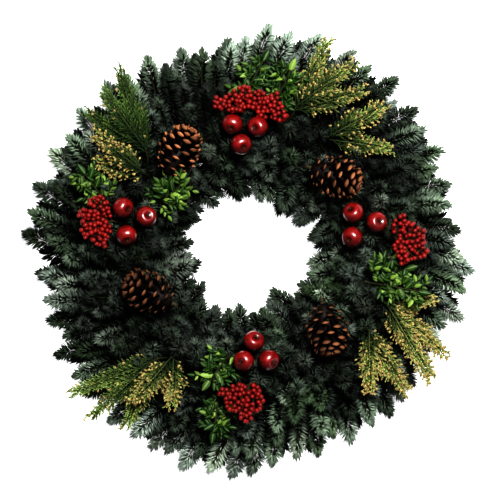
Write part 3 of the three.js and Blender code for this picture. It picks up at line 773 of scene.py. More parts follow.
SHAPES = {
    "needle": needle, "scale_leaf": scale_leaf, "cone_scale": cone_scale_rings, "oval_leaf": leaf_rings,
}
BALLS = {"pollen_bead": 1, "berry": 2}


def new_shape(name):
    """A shape that trees copy. It isn't in the scene itself."""
    if name in BALLS:
        return bpy.data.objects.new(name, ball(BALLS[name]))
    rings, values = SHAPES[name]()
    mesh = lofted(name, rings, values)
    if name == "oval_leaf":
        write_values(mesh, "rib", [0, 1, 0, 0, 1, 0] * len(rings))
    return bpy.data.objects.new(name, mesh)


def shape(name):
    return kept(("shape", name), lambda: new_shape(name))


# ---------- where the cedar, leaves, cones and picks lie ----------


STEM_RISE = (1, 36)  # the heights between which a stem stands upright


def standing_stem(piece, half):
    """A stem from beside a rail up through the gap between two bunches, and on along its route."""
    bearing = corridor(piece.gap, piece.rail)
    away = RAIL_HALF + SEAT_GAP + half
    radius = rail_radius(piece.rail, bearing) + (away if piece.outside else -away)
    rise = [place(radius, bearing, height) for height in STEM_RISE]
    return np.array(rise + [place(*stop) for stop in piece.route])


# bright: how far a spray's scales reach their tip colours, partly young scales and partly painted light for
# where the spray lies.
Spray = namedtuple("Spray", "name gap rail outside route tips gold bright leafy")

CEDAR = [
    Spray("upper_left_outer", 6, OUTER_RAIL, True, [[196, 138, 74], [212, 135, 88]],
          [[318, 126, 76], [305, 132.5, 88], [302, 139, 76]], 0.04, 0.32, 0.6),
    Spray("upper_left_inner", 6, OUTER_RAIL, False, [[184, 143.5, 76], [190, 143, 98]],
          [[244, 149, 90], [268, 142.5, 104]], 0.75, 0.40, 0.2),
    Spray("upper_right_outer", 3, OUTER_RAIL, True, [[200, 73, 72], [220, 72.5, 86]],
          [[318, 70, 76], [300, 62, 88], [278, 56, 76]], 0.34, 0.50, 0.1),
    Spray("upper_right_inner", 2, OUTER_RAIL, True, [[196, 55, 76], [200, 56, 98]],
          [[244, 38, 86], [276, 48, 100]], 0.40, 0.50, 0.2),
    Spray("lower_right_outer", 15, OUTER_RAIL, True, [[196, 341, 74], [212, 339, 86]],
          [[306, 333, 80], [306, 326, 92], [262, 345, 74]], 0.85, 1.10, 0.0),
    Spray("lower_right_inner", 14, OUTER_RAIL, True, [[196, 326, 74], [204, 327, 94]],
          [[292, 319, 78], [256, 312, 90]], 0.75, 1.00, 0.0),
    Spray("lower_left_outer", 10, OUTER_RAIL, True, [[196, 230, 74], [210, 228, 86]],
          [[320, 218.5, 76], [320, 226, 88], [296, 234, 76]], 0.06, 0.72, 0.35),
    Spray("lower_left_inner", 10, OUTER_RAIL, False, [[184, 234, 76], [188, 233, 98]],
          [[236, 242, 88], [262, 232, 104]], 0.70, 0.80, 0.1),
]
FROND_ROOTS = [0.35, 0.95, 0.65]
STEM = 1.7
BRANCHLET = 27
BRANCHLET_SPACING = 7.0
FINER_SPACING = 4.6
RIB_ARCH = 6
POLLEN_BEAD = (0.0022, 0.0015, 0.0015)  # metres along its twig and across it

# Fewer leaves are young and light where the number is higher: partly young leaves, partly painted shade on
# sprigs that lie darker.
Sprig = namedtuple("Sprig", "name gap rail outside route old")

SPRIGS = [
    Sprig("left_outer", 7, OUTER_RAIL, True, [[200, 162, 74], [224, 160, 82], [262, 154.5, 88]], 3),
    Sprig("left_inner", 6, INNER_RAIL, False, [[148, 152, 74], [147, 150, 88], [138, 136, 98]], 4),
    Sprig("top_left", 4, OUTER_RAIL, True, [[200, 95, 70], [226, 92, 82], [276, 86, 86]], 9),
    Sprig("top_right", 3, OUTER_RAIL, False, [[192, 79, 72], [222, 80, 84], [268, 77.5, 92]], 9),
    Sprig("right_inner", 15, OUTER_RAIL, False, [[182, 349, 72], [186, 350, 88], [224, 354, 94]], 4),
    Sprig("right_outer", 15, INNER_RAIL, True, [[158, 345, 74], [196, 346.5, 96], [248, 347, 102]], 4),
    Sprig("bottom_inner", 11, INNER_RAIL, False, [[150, 258, 70], [152, 258, 88], [192, 252.5, 98]], 8),
    Sprig("bottom_outer", 11, OUTER_RAIL, True, [[200, 257, 72], [214, 258, 84], [262, 258.5, 90]], 7),
]
SIDE_LEAVES = 5
SIDE_TWIGS = 15
LEAVES_A_TWIG = 5

ConePlace = namedtuple(
    "ConePlace", "name at points gap light rail outside route", defaults=(INNER_RAIL, True, ()),
)

# light: how light each cone's scale ends are painted, painted light for where the cone lies.
CONES = [
    ConePlace("upper_left", [176, 125.5, 96], 62, 6, 1.2),
    ConePlace("upper_right", [163, 42, 96], -20, 2, 0.9),
    ConePlace("lower_right", [154, 315.5, 96], 280, 14, 0.7),
    ConePlace("lower_left", [154, 201.5, 96], 153, 9, 0.55),
]
CONE_LENGTH = 70
CONE_GIRTH = 23
CONE_STAND = 8
CONE_TILT = 0.12
CONE_STALK = 3.6
CONE_SCALES = 74
GOLDEN_TURN = 137.508
SCALE_WIDTHS = (9.0, 13.6)  # at the cone's ends and at its middle
SCALE_SWEEPS = (8, 74)  # from the cone's foot to its point
STALK_LENGTH = 9
FLORIST_WIRE = 1

Pick = namedtuple("Pick", "name gap rail outside route tips apples crowd")

# Each apple: its place, its tilt away from straight up, and the bearing that it tilts towards.
PICKS = [
    Pick("top", 4, INNER_RAIL, True, [[162, 101, 70], [198, 97, 84], [204, 90, 98]],
         [[221, 103, 112], [236, 92, 112], [224, 80, 110], [202, 75, 108]],
         [([185, 97.8, 104], 40, 250), ([180, 86.5, 102], 25, 200), ([155, 94.6, 106], 35, 300)], 48),
    Pick("left", 7, OUTER_RAIL, False, [[188, 167, 74], [204, 167, 94]],
         [[230, 160, 112], [248, 166.5, 112], [238, 173.5, 110], [214, 177, 108]],
         [([192, 160.6, 106], 45, 340), ([157, 161, 102], 25, 30), ([178, 172, 104], 45, 280)], 52),
    Pick("bottom", 12, OUTER_RAIL, False, [[184, 275, 72], [188, 270, 92]],
         [[206, 258, 108], [226, 264, 108], [241, 269, 106], [212, 275, 106]],
         [([127, 272.5, 100], 40, 60), ([155, 266.8, 106], 30, 200), ([156, 280, 104], 45, 330)], 28),
    Pick("right", 0, OUTER_RAIL, True, [[198, 8.5, 70], [208, 6.5, 92]],
         [[224, 13.5, 108], [250, 7, 110], [248, -0.5, 110], [222, -3.5, 116]],
         [([158, 21, 104], 40, 130), ([186, 13.4, 104], 25, 20), ([148, 8.6, 102], 40, 220)], 34),
]
APPLE = 16
APPLE_FOOT = 0.72
APPLE_STALK = 0.9
UPPER_HALF = (0.87, 0.27)  # how high a half of an apple is, and how deep its dimple, in radii
LOWER_HALF = (0.91, 0.19)
PAINTED_LIGHT_SIDE = np.array([0.1, 0.75, 0.65])  # the way from which painted light falls on every apple: the side turned to it is painted brighter
PICK_STEM = 2
BERRY_TWIG = 0.6
BERRY_ARCH = 0.004  # metres that a berry twig bends up
BERRY_STALK = (0.004, 0.0085)  # metres, from the shortest to the longest
BERRY_SPACING = 1.55  # the least distance between berries, in their radii

# How far round the things that lie over it the fir stays low, and how far below them.
APPLE_ROOM = (17, 24)
BERRY_ROOM = (14, 24)
CONE_ROOM = (27, 40)
SPRAY_ROOM = (12, 18)
SPRIG_ROOM = (12, 16)


def cone_frame(cone):
    """A cone's foot and the directions along it, aside and up, in metres."""
    level = place(1, cone.points, 0) - MIDDLE
    axis = unit(np.array([level[0] / MM, level[1] / MM, CONE_TILT]))
    foot = place(*cone.at) - axis * CONE_LENGTH / 2 * MM
    side = unit(np.cross((0, 0, 1), axis))
    return foot, axis, side, np.cross(axis, side)


def overlays():
    """The things that lie over the fir: places in metres with the height that it keeps below round them."""
    spots = []

    def cover(start, end, shares, clearance, drop):
        for share in shares:
            spot = lerp(start, end, share)
            spots.append((spot, clearance, spot[2] / MM - drop))

    for pick in PICKS:
        for at, _, _ in pick.apples:
            cover(place(*at), place(*at), [0], *APPLE_ROOM)
        for tip in pick.tips:
            cover(place(*tip), place(*tip), [0], *BERRY_ROOM)
    for cone in CONES:
        foot, axis, _, _ = cone_frame(cone)
        cover(foot, foot + axis * CONE_LENGTH * MM, (0.05, 0.35, 0.65, 0.95), *CONE_ROOM)
    for spray in CEDAR:
        for tip in spray.tips:
            cover(place(*spray.route[-1]), place(*tip), (0.0, 0.3, 0.6, 0.9), *SPRAY_ROOM)
    for sprig in SPRIGS:
        cover(place(*sprig.route[-2]), place(*sprig.route[-1]), (0.0, 0.35, 0.7, 1.0), *SPRIG_ROOM)
    return spots


def room_below(point, spots):
    """The greatest height that a tip may have at a place, in metres."""
    over = [
        top for spot, radius, top in spots
        if np.hypot(*(point[:2] - spot[:2])) < (radius + TIP_MARGIN) * MM
    ]
    return min(over, default=HIGHEST) * MM


def kept_below(path, spots):
    """A twig's path with its rise lowered as a whole until it passes below what lies over it."""
    root = path[0, 2]
    ratio = 1.0
    for spot, radius, ceiling in spots:
        near = np.hypot(*(path[:, :2] - spot[:2]).T) < radius * MM
        rise = path[near, 2] - root
        if rise.size and rise.max() > 1e-4:
            ratio = min(ratio, max((ceiling * MM - root) / rise.max(), LEAST_RISE))
    lowered = path.copy()
    lowered[:, 2] = root + (path[:, 2] - root) * min(ratio, 1.0)
    return lowered


# ---------- fir ----------

Shoot = namedtuple("Shoot", "root lift aside height climb short flat")

LOW_LEFT = Shoot(-2, -2.5, 6.4, 27, 1.2, 0, 0.8)
LOW_RIGHT = Shoot(-4, -2.5, -6.4, 30, 1.2, 4, 0.8)
MIDDLE_SHOOT = Shoot(-3, 3, 0.4, 60, 0.6, 12, 0.5)
UPPER = Shoot(-4.6, 4, -1, 92, 0.6, 66, 0.3)
INNER_LOW = Shoot(-2.6, -2.5, 1.6, 25, 1.2, 0, 0.7)
INNER_HIGH = Shoot(-3.8, 3, -1, 60, 0.6, 8, 0.4)

# Shoots that show, in rows from the rim inwards: the share of the bunch's reach, how far aside and how high
# their tips are, and how late they rise.
OUTER_ROWS = [
    (0.92, 11.4, 24, 0.9), (0.79, -4.5, 50, 1.4), (0.82, 2.8, 46, 1.4), (0.78, 10.6, 50, 1.4),
    (0.57, -8.2, 64, 1.5), (0.54, -0.8, 66, 1.5), (0.58, 6.7, 64, 1.5), (0.33, -4.6, 74, 1.2),
    (0.35, 6.6, 74, 1.2),
]
INNER_ROWS = [
    (0.94, -8.6, 26, 1.0), (0.66, -3.4, 48, 1.4), (0.64, 7.8, 50, 1.4), (0.38, 1.8, 66, 1.2),
    (0.40, -9.4, 64, 1.2),
]
# Shoots deep in the bed, with few and broad needles that keep the floor from showing, painted dark as painted
# shade.
OUTER_BED = [
    (0.90, 3.4, 12), (0.88, -3.0, 12), (0.83, 9.2, 12), (0.81, -8.4, 14),
    (0.74, -7.2, 18), (0.76, 0.6, 20), (0.72, 8.0, 18), (0.64, 4.4, 20), (0.66, -3.4, 20),
    (0.48, -9.8, 24), (0.50, -1.2, 26), (0.46, 7.6, 24), (0.50, 3.4, 20), (0.54, -5.8, 20),
    (0.28, -2.2, 26), (0.28, 5.4, 26),
]
INNER_BED = [(0.80, -5.0, 14), (0.78, 5.0, 14), (0.62, -3.0, 20), (0.60, 8.4, 22), (0.42, 3.0, 24)]
# Shoots that lie along the ring and cover the stems of the next bunch: tip radius, aside, height, painted
# light (0 gives the bed's painted shade).
CROWN = [
    (158, -15, 66, 0.5), (180, -19, 68, 0.5), (200, 15, 60, 0.5),
    (176, 15, 40, 0), (198, -16, 38, 0), (152, 15, 36, 0), (212, 14, 42, 0), (164, -17, 40, 0),
]
# Short side shoots that turn their tips up: radius, aside, height, and how far the tip goes out and aside.
ROSETTES = [
    (266, 7, 66, 17, 5), (238, -5, 74, 15, -5), (228, 3.6, 78, 13, 4), (206, -9.4, 80, 12, -6),
    (202, 1, 84, 8, 4), (180, -4, 86, 4, -5), (178, 7.2, 84, 2, 6), (156, 1.6, 84, -7, 5),
    (152, -9, 82, -9, -5), (126, -1, 70, -14, 4),
]
# Further hidden shoots where the bed is thinnest: tip radius, aside and height.
BED_FILL = [(250, 11, 26), (224, 11, 30)]
# How light the shoots deep in the bed are painted: painted shade.
BED_PAINTED_SHADE = 0.1
BRIGHTEST = 1.7  # the most that a shoot is lit
TWIG_GIRTH = (1.7, 0.6)  # half a twig's width at its foot and at its tip
PALE_ODDS = 0.14  # how many shoots show the needles' pale side
TIP_MARGIN = 4
HIGHEST = 100
LEAST_RISE = 0.25  # the share of its rise that a shoot keeps under what lies over it
FRINGE = 10  # how far the side shoots end inside the bunch's own tips
NEEDLED = 84  # length of a shoot that has needles
BUD = 14  # length at a shoot's tip where the needles stand closest
ROSETTE = 34  # length of a short side shoot


def fir_path(bearing, shoot, tip_radius, steps=9):
    """A shoot's path from the cut stems to its tip, in metres."""
    outward = 1 if tip_radius > RING else -1
    start = RING + 2 * outward
    path = []
    for share in np.linspace(0, 1, steps):
        aside = lerp(shoot.root, shoot.aside, smoothstep(share, 0, 0.75))
        rise = lerp(HUB_HEIGHT + shoot.lift, shoot.height, share ** shoot.climb)
        path.append(leaning(lerp(start, tip_radius, share), bearing, aside, rise))
    return np.array(path)


def rosette_path(tip, lean_out, carriers):
    """A short side shoot from the nearest carrying shoot up to its tip."""
    below = tip - lean_out - np.array([0, 0, ROSETTE * 0.85 * MM])
    points = np.vstack(carriers)
    foot = points[np.argmin(np.linalg.norm(points - below, axis=1))]
    shares = np.linspace(0, 1, 7)
    return np.array([(1 - s) ** 2 * foot + 2 * s * (1 - s) * below + s * s * tip for s in shares])


# Where the painted light over the ring gives way to that of the rim, the hole, the middle and the heart.
RIM_ZONE = (240, 318)
HOLE_ZONE = (130, 90)
MIDDLE_ZONE = (185, 215)
MIDDLE_END = (290, 265)
HEART_ZONE = (175, 145)
RING_PAINTED_LIGHT, RIM_PAINTED_LIGHT, HOLE_PAINTED_LIGHT = 0.31, 1.15, 0.14


def painted_bed_light(radius):
    """How light the foliage is painted: painted shade darkest over the ring, painted light lightest at the
    rim and by the hole.
    """
    return RING_PAINTED_LIGHT + RIM_PAINTED_LIGHT * smoothstep(radius, *RIM_ZONE) + HOLE_PAINTED_LIGHT * smoothstep(radius, *HOLE_ZONE)


def painted_middle_light(number, path):
    """How much lighter or darker a shoot of one bunch is painted beside those of others, as painted light and
    shade, for a tip between the ring and the rim.
    """
    radius = np.hypot(*(path[-1] - MIDDLE)[:2]) / MM
    share = smoothstep(radius, *MIDDLE_ZONE) * smoothstep(radius, *MIDDLE_END)
    change = LIT if number in LIT_MIDDLES else SHADED if number in SHADED_MIDDLES else 1.0
    heart = LIT_HEART if number in LIT_HEARTS else 1.0
    return lerp(1.0, change, share) * lerp(1.0, heart, smoothstep(radius, *HEART_ZONE))


def fir_twig(path, flat, light, draw, tones, needled):
    """A twig that tapers along its path, with needles on its outer part."""
    length = np.linalg.norm(np.diff(path, axis=0), axis=1).sum() / MM
    begin = max(0.04, 1 - needled / length)
    girth = np.linspace(*TWIG_GIRTH, len(path)) * MM
    pale = draw(0.3, 0.7) if draw(0, 1) < PALE_ODDS else draw(0, 0.12)
    radius = np.hypot(*(path[-1] - MIDDLE)[:2]) / MM
    # Painted light: the shoot's own, times that painted on its place in the bed, with a random spread, up to
    # BRIGHTEST.
    painted_light = min(light * painted_bed_light(radius) * draw(0.55, 1.2) ** 2, BRIGHTEST)
    return Twig(path, girth, begin, draw(0.88, 1.04), draw(*tones), pale, flat, painted_light)


def bud_twig(twig):
    """The last of a twig once more, so that its tip ends in a close brush."""
    tail = unit(twig.points[-2] - twig.points[-1]) * BUD * MM
    points = np.array([twig.points[-1] + tail * share for share in (1, 0.5, 0)])
    return twig._replace(points=points, girth=0.7 * MM, begin=0, size=twig.size * 0.95, flat=twig.flat * 0.6)


def side_path(bearing, spots, root, lift, aside, height, climb, tip):
    """The path of a shoot that isn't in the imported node, kept below what lies over it."""
    return kept_below(fir_path(bearing, Shoot(root, lift, aside, height, climb, 0, 0), tip), spots)


def fir_paths(number, spots, draw):
    """The path of each long shoot of a bunch, how flat its needles lie, and its painted light, or 0 for the
    bed's painted shade.
    """
    bearing = number * PITCH
    reach, near = REACH[number], INNER_REACH[number]
    paths = []
    for shoot in [LOW_LEFT, LOW_RIGHT, MIDDLE_SHOOT] + ([UPPER] if number in OPEN_BUNCHES else []):
        tip = reach - TIP_NEEDLES - shoot.short + draw(-3, 3)
        paths.append((fir_path(bearing, shoot, tip), shoot.flat, 1.1))
    for shoot in [INNER_LOW, INNER_HIGH] if number % 2 else [INNER_LOW]:
        tip = near + TIP_NEEDLES + shoot.short
        paths.append((fir_path(bearing, shoot, tip), shoot.flat, 1.0))
    for rows, end in ((OUTER_ROWS, reach - FRINGE), (INNER_ROWS, near + FRINGE)):
        for share, aside, height, climb in rows:
            tip = lerp(RING, end, share + draw(-0.06, 0.04))
            where = (draw(-2, 4), aside + 7 * draw(-1, 1) ** 3, height + draw(-8, 6), climb, tip)
            paths.append((side_path(bearing, spots, -3, *where), lerp(0.7, 0.1, height / 75), 1.0))
    for bed, end in ((OUTER_BED, reach - FRINGE), (INNER_BED, near + FRINGE)):
        for share, aside, height in bed:
            tip = lerp(RING, end, share)
            where = (draw(-2, 4), aside + draw(-1.6, 1.6), height + draw(-4, 4), 0.7, tip)
            paths.append((side_path(bearing, spots, -3, *where), 0.5, 0))
    for radius, aside, height, light in CROWN:
        where = (4, aside + draw(-2, 2), height + draw(-5, 5), 0.6, radius + draw(-5, 5))
        paths.append((side_path(bearing, spots, -2, *where), 0.3, light))
    return paths


def fir_bunch_twigs(number, spots):
    """The shoots that show of a bunch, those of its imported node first, and those deep in the bed."""
    bearing = number * PITCH
    draw = seeded(101 + 37 * number)
    tones = (0.15, 1.0) if number in BLUE_BUNCHES else (0.0, 0.55)
    # own: the bunch's painted light or painted shade.
    own = SHADE_PAINTED if number in SHADE_PAINTED_BUNCHES else LIGHT_PAINTED if number in LIGHT_PAINTED_BUNCHES else EVENLY_PAINTED
    paths = fir_paths(number, spots, draw)
    shown, hidden = [], []
    for path, flat, light in paths:
        # Shown shoots get painted light; hidden ones deep in the bed are painted dark as shade.
        painted_light = own * painted_middle_light(number, path) * light if light else own * BED_PAINTED_SHADE
        (shown if light else hidden).append(fir_twig(path, flat, painted_light, draw, tones, NEEDLED))
    carriers = [path for path, _, _ in paths]
    for radius, aside, height, out, across in ROSETTES:
        radius += draw(-9, 9)
        aside += draw(-2.5, 2.5)
        tip = leaning(radius, bearing, aside, height + draw(-7, 5))
        outward = unit(leaning(radius + 1, bearing, aside, 0) - leaning(radius, bearing, aside, 0))
        lean_out = (outward * out + np.cross((0, 0, 1), outward) * across) * MM
        tip[2] = min(tip[2], room_below(tip, spots))
        path = rosette_path(tip, lean_out, carriers)
        # Rosettes are painted lighter still: painted light on their upturned tips.
        painted_light = 1.3 * own * painted_middle_light(number, path)
        shown.append(fir_twig(path, 0, painted_light, draw, tones, ROSETTE + 6))
    for radius, aside, height in BED_FILL:
        path = side_path(bearing, spots, -2, 2, aside, height, 0.6, radius)
        hidden.append(fir_twig(path, 0.4, BED_PAINTED_SHADE, draw, tones, NEEDLED))
    return shown + [bud_twig(twig) for twig in shown], hidden


CUT_STEM = 2.0
CUT_FACE = 1.75
CUT_SPREAD = 3.9
CUT_ENDS = (6.4, -5.6)  # degrees along the ring


def cut_stem_bundle(number):
    """Seven cut stems under a clamp, with bark on them and pale wood at their ends."""
    meshes = []
    turns = np.arange(6) * math.pi / 3
    offsets = [(0, 0), *zip(CUT_SPREAD * np.cos(turns), CUT_SPREAD * np.sin(turns))]
    for i, (across, up) in enumerate(offsets):
        stops = np.linspace(CUT_ENDS[0] - 0.25 * (i % 3), CUT_ENDS[1], 5)
        path = [leaning(RING + across, number * PITCH, aside, HUB_HEIGHT + up) for aside in stops]
        inward = unit(path[1] - path[0]) * MM
        face = [path[0] - inward * 0.25, path[0] + inward * 0.4]
        meshes.append(tube(path, CUT_STEM * MM, "twig_bark", sides=8))
        meshes.append(tube(face, CUT_FACE * MM, "cut_wood", sides=8))
    return meshes


# How needles stand on a fir shoot. Those deep in the bed are fewer and broader by BED_COARSE.
NEEDLE_GROWTH = {
    "Spiral": math.radians(137.5), "Sweep": math.radians(30), "Tip Sweep": math.radians(84),
    "Tip Reach": 0.013, "Tip Length": 0.86, "Unevenness": 0.4, "Lift": 0.18,
}
BED_COARSE = 2.7


class WREATH_OT_fir_bunches(bpy.types.Operator):
    """Dress the sixteen bunches of noble fir"""

    bl_idname = "wreath.fir_bunches"
    bl_label = "Fir bunches"

    def execute(self, context):
        greens = context.scene.wreath_greens
        spots = overlays()
        for number in range(BUNCHES):
            meshes = cut_stem_bundle(number)
            for twigs, coarse in zip(fir_bunch_twigs(number, spots), (1.0, BED_COARSE)):
                meshes.append(bristled(twigs, "needle", ("fir_needle", "young_bark"), 11 + number, {
                    **NEEDLE_GROWTH,
                    "Spacing": greens.needle_spacing * coarse,
                    "Length": greens.needle_length,
                    "Width": greens.needle_width * coarse,
                }))
            dress(f"fir_bunch_{number + 1:02d}", meshes)
        return {"FINISHED"}


# ---------- cedar ----------

# How scale leaves stand on a cedar twig.
SCALE_GROWTH = {
    "Spacing": 0.00105, "Width": 0.0021, "Spiral": math.radians(90), "Sweep": math.radians(66),
    "Tip Sweep": math.radians(80), "Tip Reach": 0.003, "Tip Length": 0.9, "Unevenness": 0.16, "Lift": 0.0,
}


def frond_twigs(start, tip, bright, leafy, draw):
    """The twigs of a flat frond, from its rib to the finest, and their ends and aims."""
    along = unit(tip - start)
    side = unit(np.cross((0, 0, 1), along))
    up = np.cross(along, side)
    length = np.linalg.norm(tip - start)

    def rib_at(share):
        return lerp(start, tip, share) + up * RIB_ARCH * MM * 4 * share * (1 - share)

    rib = np.array([rib_at(share) for share in np.linspace(0, 1, 10)])
    # Tones rise from near black at the rib's foot, painted shade deep in the frond, to bright tips, partly
    # young scales and partly painted light.
    tones = np.linspace(0.0, bright, 10)
    twigs = [Twig(rib, np.linspace(1.2, 0.5, 10) * MM, 0.12, 1.1, tones, 0, 0.35, 1.0)]
    ends = [(tip, along)]
    count = 2 * max(7, int(length / (BRANCHLET_SPACING * MM)))
    for i in range(count):
        share = lerp(0.03, 0.97, i / (count - 1))
        hand = -1 if i % 2 else 1
        reach = BRANCHLET * (1.35 - 0.7 * share) * draw(0.75, 1.1) * min(1.0, 0.6 + 3 * share) * MM
        sweep = math.radians(54 + 18 * share + draw(-6, 6))
        aim = unit(side * hand * math.cos(sweep) + along * math.sin(sweep) + up * draw(-0.12, 0.16))
        foot = rib_at(share)
        droop = draw(-0.18, 0.02)
        shares = np.linspace(0, 1, 5)
        bends = [s * unit(aim + along * 0.3 * s) + up * droop * s * s for s in shares]
        branch = foot + reach * np.array(bends)
        # A branchlet's tone: darker near the frond's foot as painted shade, lighter toward its tip as painted
        # light.
        tone = min(1.0, bright * (0.3 + 1.0 * share) * draw(0.4, 1.5))
        twigs.append(Twig(branch, 0.5 * MM, 0, 1.0, np.linspace(0.0, 1.2, 5) * tone, leafy, 0.35, 1.0))
        ends.append((branch[-1], unit(branch[-1] - branch[-2])))
        finer = max(2, int(reach / (FINER_SPACING * MM)))
        for j in range(finer):
            stop = lerp(0.2, 0.9, j / max(finer - 1, 1)) * 4
            root = lerp(branch[int(stop)], branch[int(stop) + 1], stop % 1)
            own = -1 if j % 2 else 1
            outward = unit(turned(aim, up, own * draw(16, 28)) + up * draw(-0.15, 0.15))
            end = root + outward * reach * lerp(0.42, 0.26, stop / 4) * draw(0.75, 1.15)
            bend = lerp(root, end, 0.5) + aim * reach * 0.02
            finer_tones = np.array([0.2, 0.9, 1.8]) * tone
            twigs.append(Twig(np.array([root, bend, end]), 0.4 * MM, 0, 0.85, finer_tones, leafy, 0.35, 1.0))
            ends.append((end, unit(end - bend)))
    return twigs, ends


def pollen_beads(end, aim, draw):
    """The places and aims of the beads round the end of a twig: one at it and one beside it."""
    beside = turned(aim, (0, 0, 1), draw(-70, 70))
    return [(end + aim * 0.0014, aim), (end - aim * draw(0.0, 0.003) + beside * 0.0022, unit(beside + aim))]


class WREATH_OT_cedar_sprays(bpy.types.Operator):
    """Dress the eight sprays of incense cedar with their golden pollen tips"""

    bl_idname = "wreath.cedar_sprays"
    bl_label = "Cedar sprays"

    def execute(self, context):
        growth = {**SCALE_GROWTH, "Length": context.scene.wreath_greens.scale_length}
        for number, spray in enumerate(CEDAR):
            draw = seeded(701 + 53 * number)
            stem = standing_stem(spray, STEM)
            waist, end = stem[-2:]
            twigs, ends = [], []
            for tip, root in zip(spray.tips, FROND_ROOTS):
                frond = frond_twigs(lerp(waist, end, root), place(*tip), spray.bright, spray.leafy, draw)
                twigs += frond[0]
                ends += frond[1]
            scales = bristled(twigs, "scale_leaf", ("cedar_scale", "cedar_scale"), 71 + number, growth)
            meshes = [scales, tube(rounded(stem), STEM * MM, "young_bark")]
            golden = [end for end in ends if draw(0, 1) < spray.gold]
            spots, aims = zip(*(bead for end in golden for bead in pollen_beads(*end, draw)))
            meshes.append(settled(
                "pollen_bead", "cedar_pollen", spots, aims, (0, 0, 1), POLLEN_BEAD, 31 + number,
                unevenness=0.25,
            ))
            dress(f"cedar_{spray.name}", meshes)
        return {"FINISHED"}


# ---------- leaf sprigs ----------


def sprig_leaves(stem, draw):
    """The foot, aim, upper side and size of each leaf, and the small twigs that carry the finer ones."""
    start, end = stem[-2:]
    along = unit(end - start)
    up = unit(np.array([0, 0, 1]) - along * along[2])
    side = np.cross(up, along)
    leaves = [(end - along * 2 * MM, along, up, 0.9)]
    for i in range(SIDE_LEAVES):
        hand = 1 if i % 2 else -1
        aim = unit(turned(along, up, hand * draw(50, 60)) + up * draw(0.05, 0.3))
        foot = lerp(start, end, 0.1 + 0.84 * i / SIDE_LEAVES)
        leaves.append((foot, aim, unit(up - aim * up.dot(aim)), draw(0.75, 0.95)))
    twigs = []
    for i in range(SIDE_TWIGS):
        hand = -1 if i % 2 else 1
        root = lerp(start, end, lerp(-0.15, 0.95, i / (SIDE_TWIGS - 1)))
        tip = root + (side * hand * draw(8, 25) + along * draw(-4, 14) + up * draw(-6, 5)) * MM
        twigs.append(np.array([root, lerp(root, tip, 0.5) + up * 0.002, tip]))
        aim = unit(tip - root)
        for j in range(LEAVES_A_TWIG):
            own = -1 if j % 2 else 1
            leaf_aim = unit(turned(aim, up, own * draw(25, 75)) + up * draw(-0.1, 0.7))
            face = unit(up + side * draw(-0.5, 0.5) + along * draw(-0.5, 0.5))
            foot = lerp(root, tip, 0.25 + 0.7 * j / LEAVES_A_TWIG)
            leaves.append((foot, leaf_aim, unit(face - leaf_aim * face.dot(leaf_aim)), draw(0.36, 0.62)))
        leaves.append((tip, aim, up, draw(0.4, 0.6)))
    return leaves, twigs


class WREATH_OT_leaf_sprigs(bpy.types.Operator):
    """Dress the eight sprigs of glossy oval leaves"""

    bl_idname = "wreath.leaf_sprigs"
    bl_label = "Leaf sprigs"

    def execute(self, context):
        greens = context.scene.wreath_greens
        size = (greens.leaf_length, greens.leaf_width, greens.leaf_width)
        for number, sprig in enumerate(SPRIGS):
            draw = seeded(907 + 29 * number)
            stem = standing_stem(sprig, STEM)
            placed, twigs = sprig_leaves(stem, draw)
            feet, aims, uppers, sizes = zip(*placed)
            # Random leaf tones, with fewer light ones on sprigs painted darker: partly leaf age, partly
            # painted shade.
            tones = [draw(0, 1) ** sprig.old for _ in feet]
            meshes = [settled(
                "oval_leaf", "oval_leaf", feet, aims, uppers, np.outer(sizes, size), 51 + number, tones,
            )]
            meshes.append(tube(rounded(stem), STEM * MM * 0.75, "young_bark", sides=8))
            meshes += [tube(twig, 0.5 * MM, "young_bark", sides=5) for twig in twigs]
            dress(f"leaf_sprig_{sprig.name}", meshes)
        return {"FINISHED"}


# ---------- cones ----------


def cone_girth(share):
    """Half the width of a cone's body at a share of its length."""
    belly = math.sin(math.pi * min(share + 0.06, 1) ** 0.8)
    return CONE_GIRTH * (0.25 + 0.75 * belly)


def cone_meshes(cone):
    """A core painted dark as shade, with woody scales round it in a rising spiral, on a short stalk."""
    foot, axis, side, up = cone_frame(cone)
    shares = np.linspace(0, 1, 14)
    core = [foot + axis * CONE_LENGTH * s * 0.96 * MM for s in shares]
    radii = [max(cone_girth(s) * 0.62, 1.5) * MM for s in shares]
    body = lofted("core", rings_along(core, radii, 14), np.zeros(14), "cone_scale")
    placed = []
    for i in range(CONE_SCALES):
        share = ((i + 0.5) / CONE_SCALES) ** 0.92
        angle = math.radians(GOLDEN_TURN * i)
        out = side * math.cos(angle) + up * math.sin(angle)
        girth = cone_girth(share)
        stand = CONE_STAND * (0.55 + 0.45 * math.sin(math.pi * share))
        sweep = math.radians(lerp(*SCALE_SWEEPS, share ** 0.9))
        length = (girth * 0.5 + stand) / max(math.cos(sweep), 0.55)
        narrowed = 1 if share < 0.8 else lerp(1, 0.6, (share - 0.8) / 0.2)
        width = lerp(*SCALE_WIDTHS, math.sin(math.pi * share)) * narrowed
        placed.append((
            foot + axis * CONE_LENGTH * MM * (share * 0.9 + 0.02) + out * girth * 0.5 * MM,
            out * math.cos(sweep) + axis * math.sin(sweep),
            unit(axis * math.cos(sweep) - out * math.sin(sweep)),
            (length * MM, width * MM, width * MM),
        ))
    # Each cone's painted light goes to its scales as their tone.
    scales = settled("cone_scale", "cone_scale", *zip(*placed), 91, cone.light, unevenness=0.12)
    stalk = [foot - axis * STALK_LENGTH * MM, foot + axis * 6 * MM]
    return [body, scales, tube(stalk, CONE_STALK * 0.9 * MM, "twig_bark")]


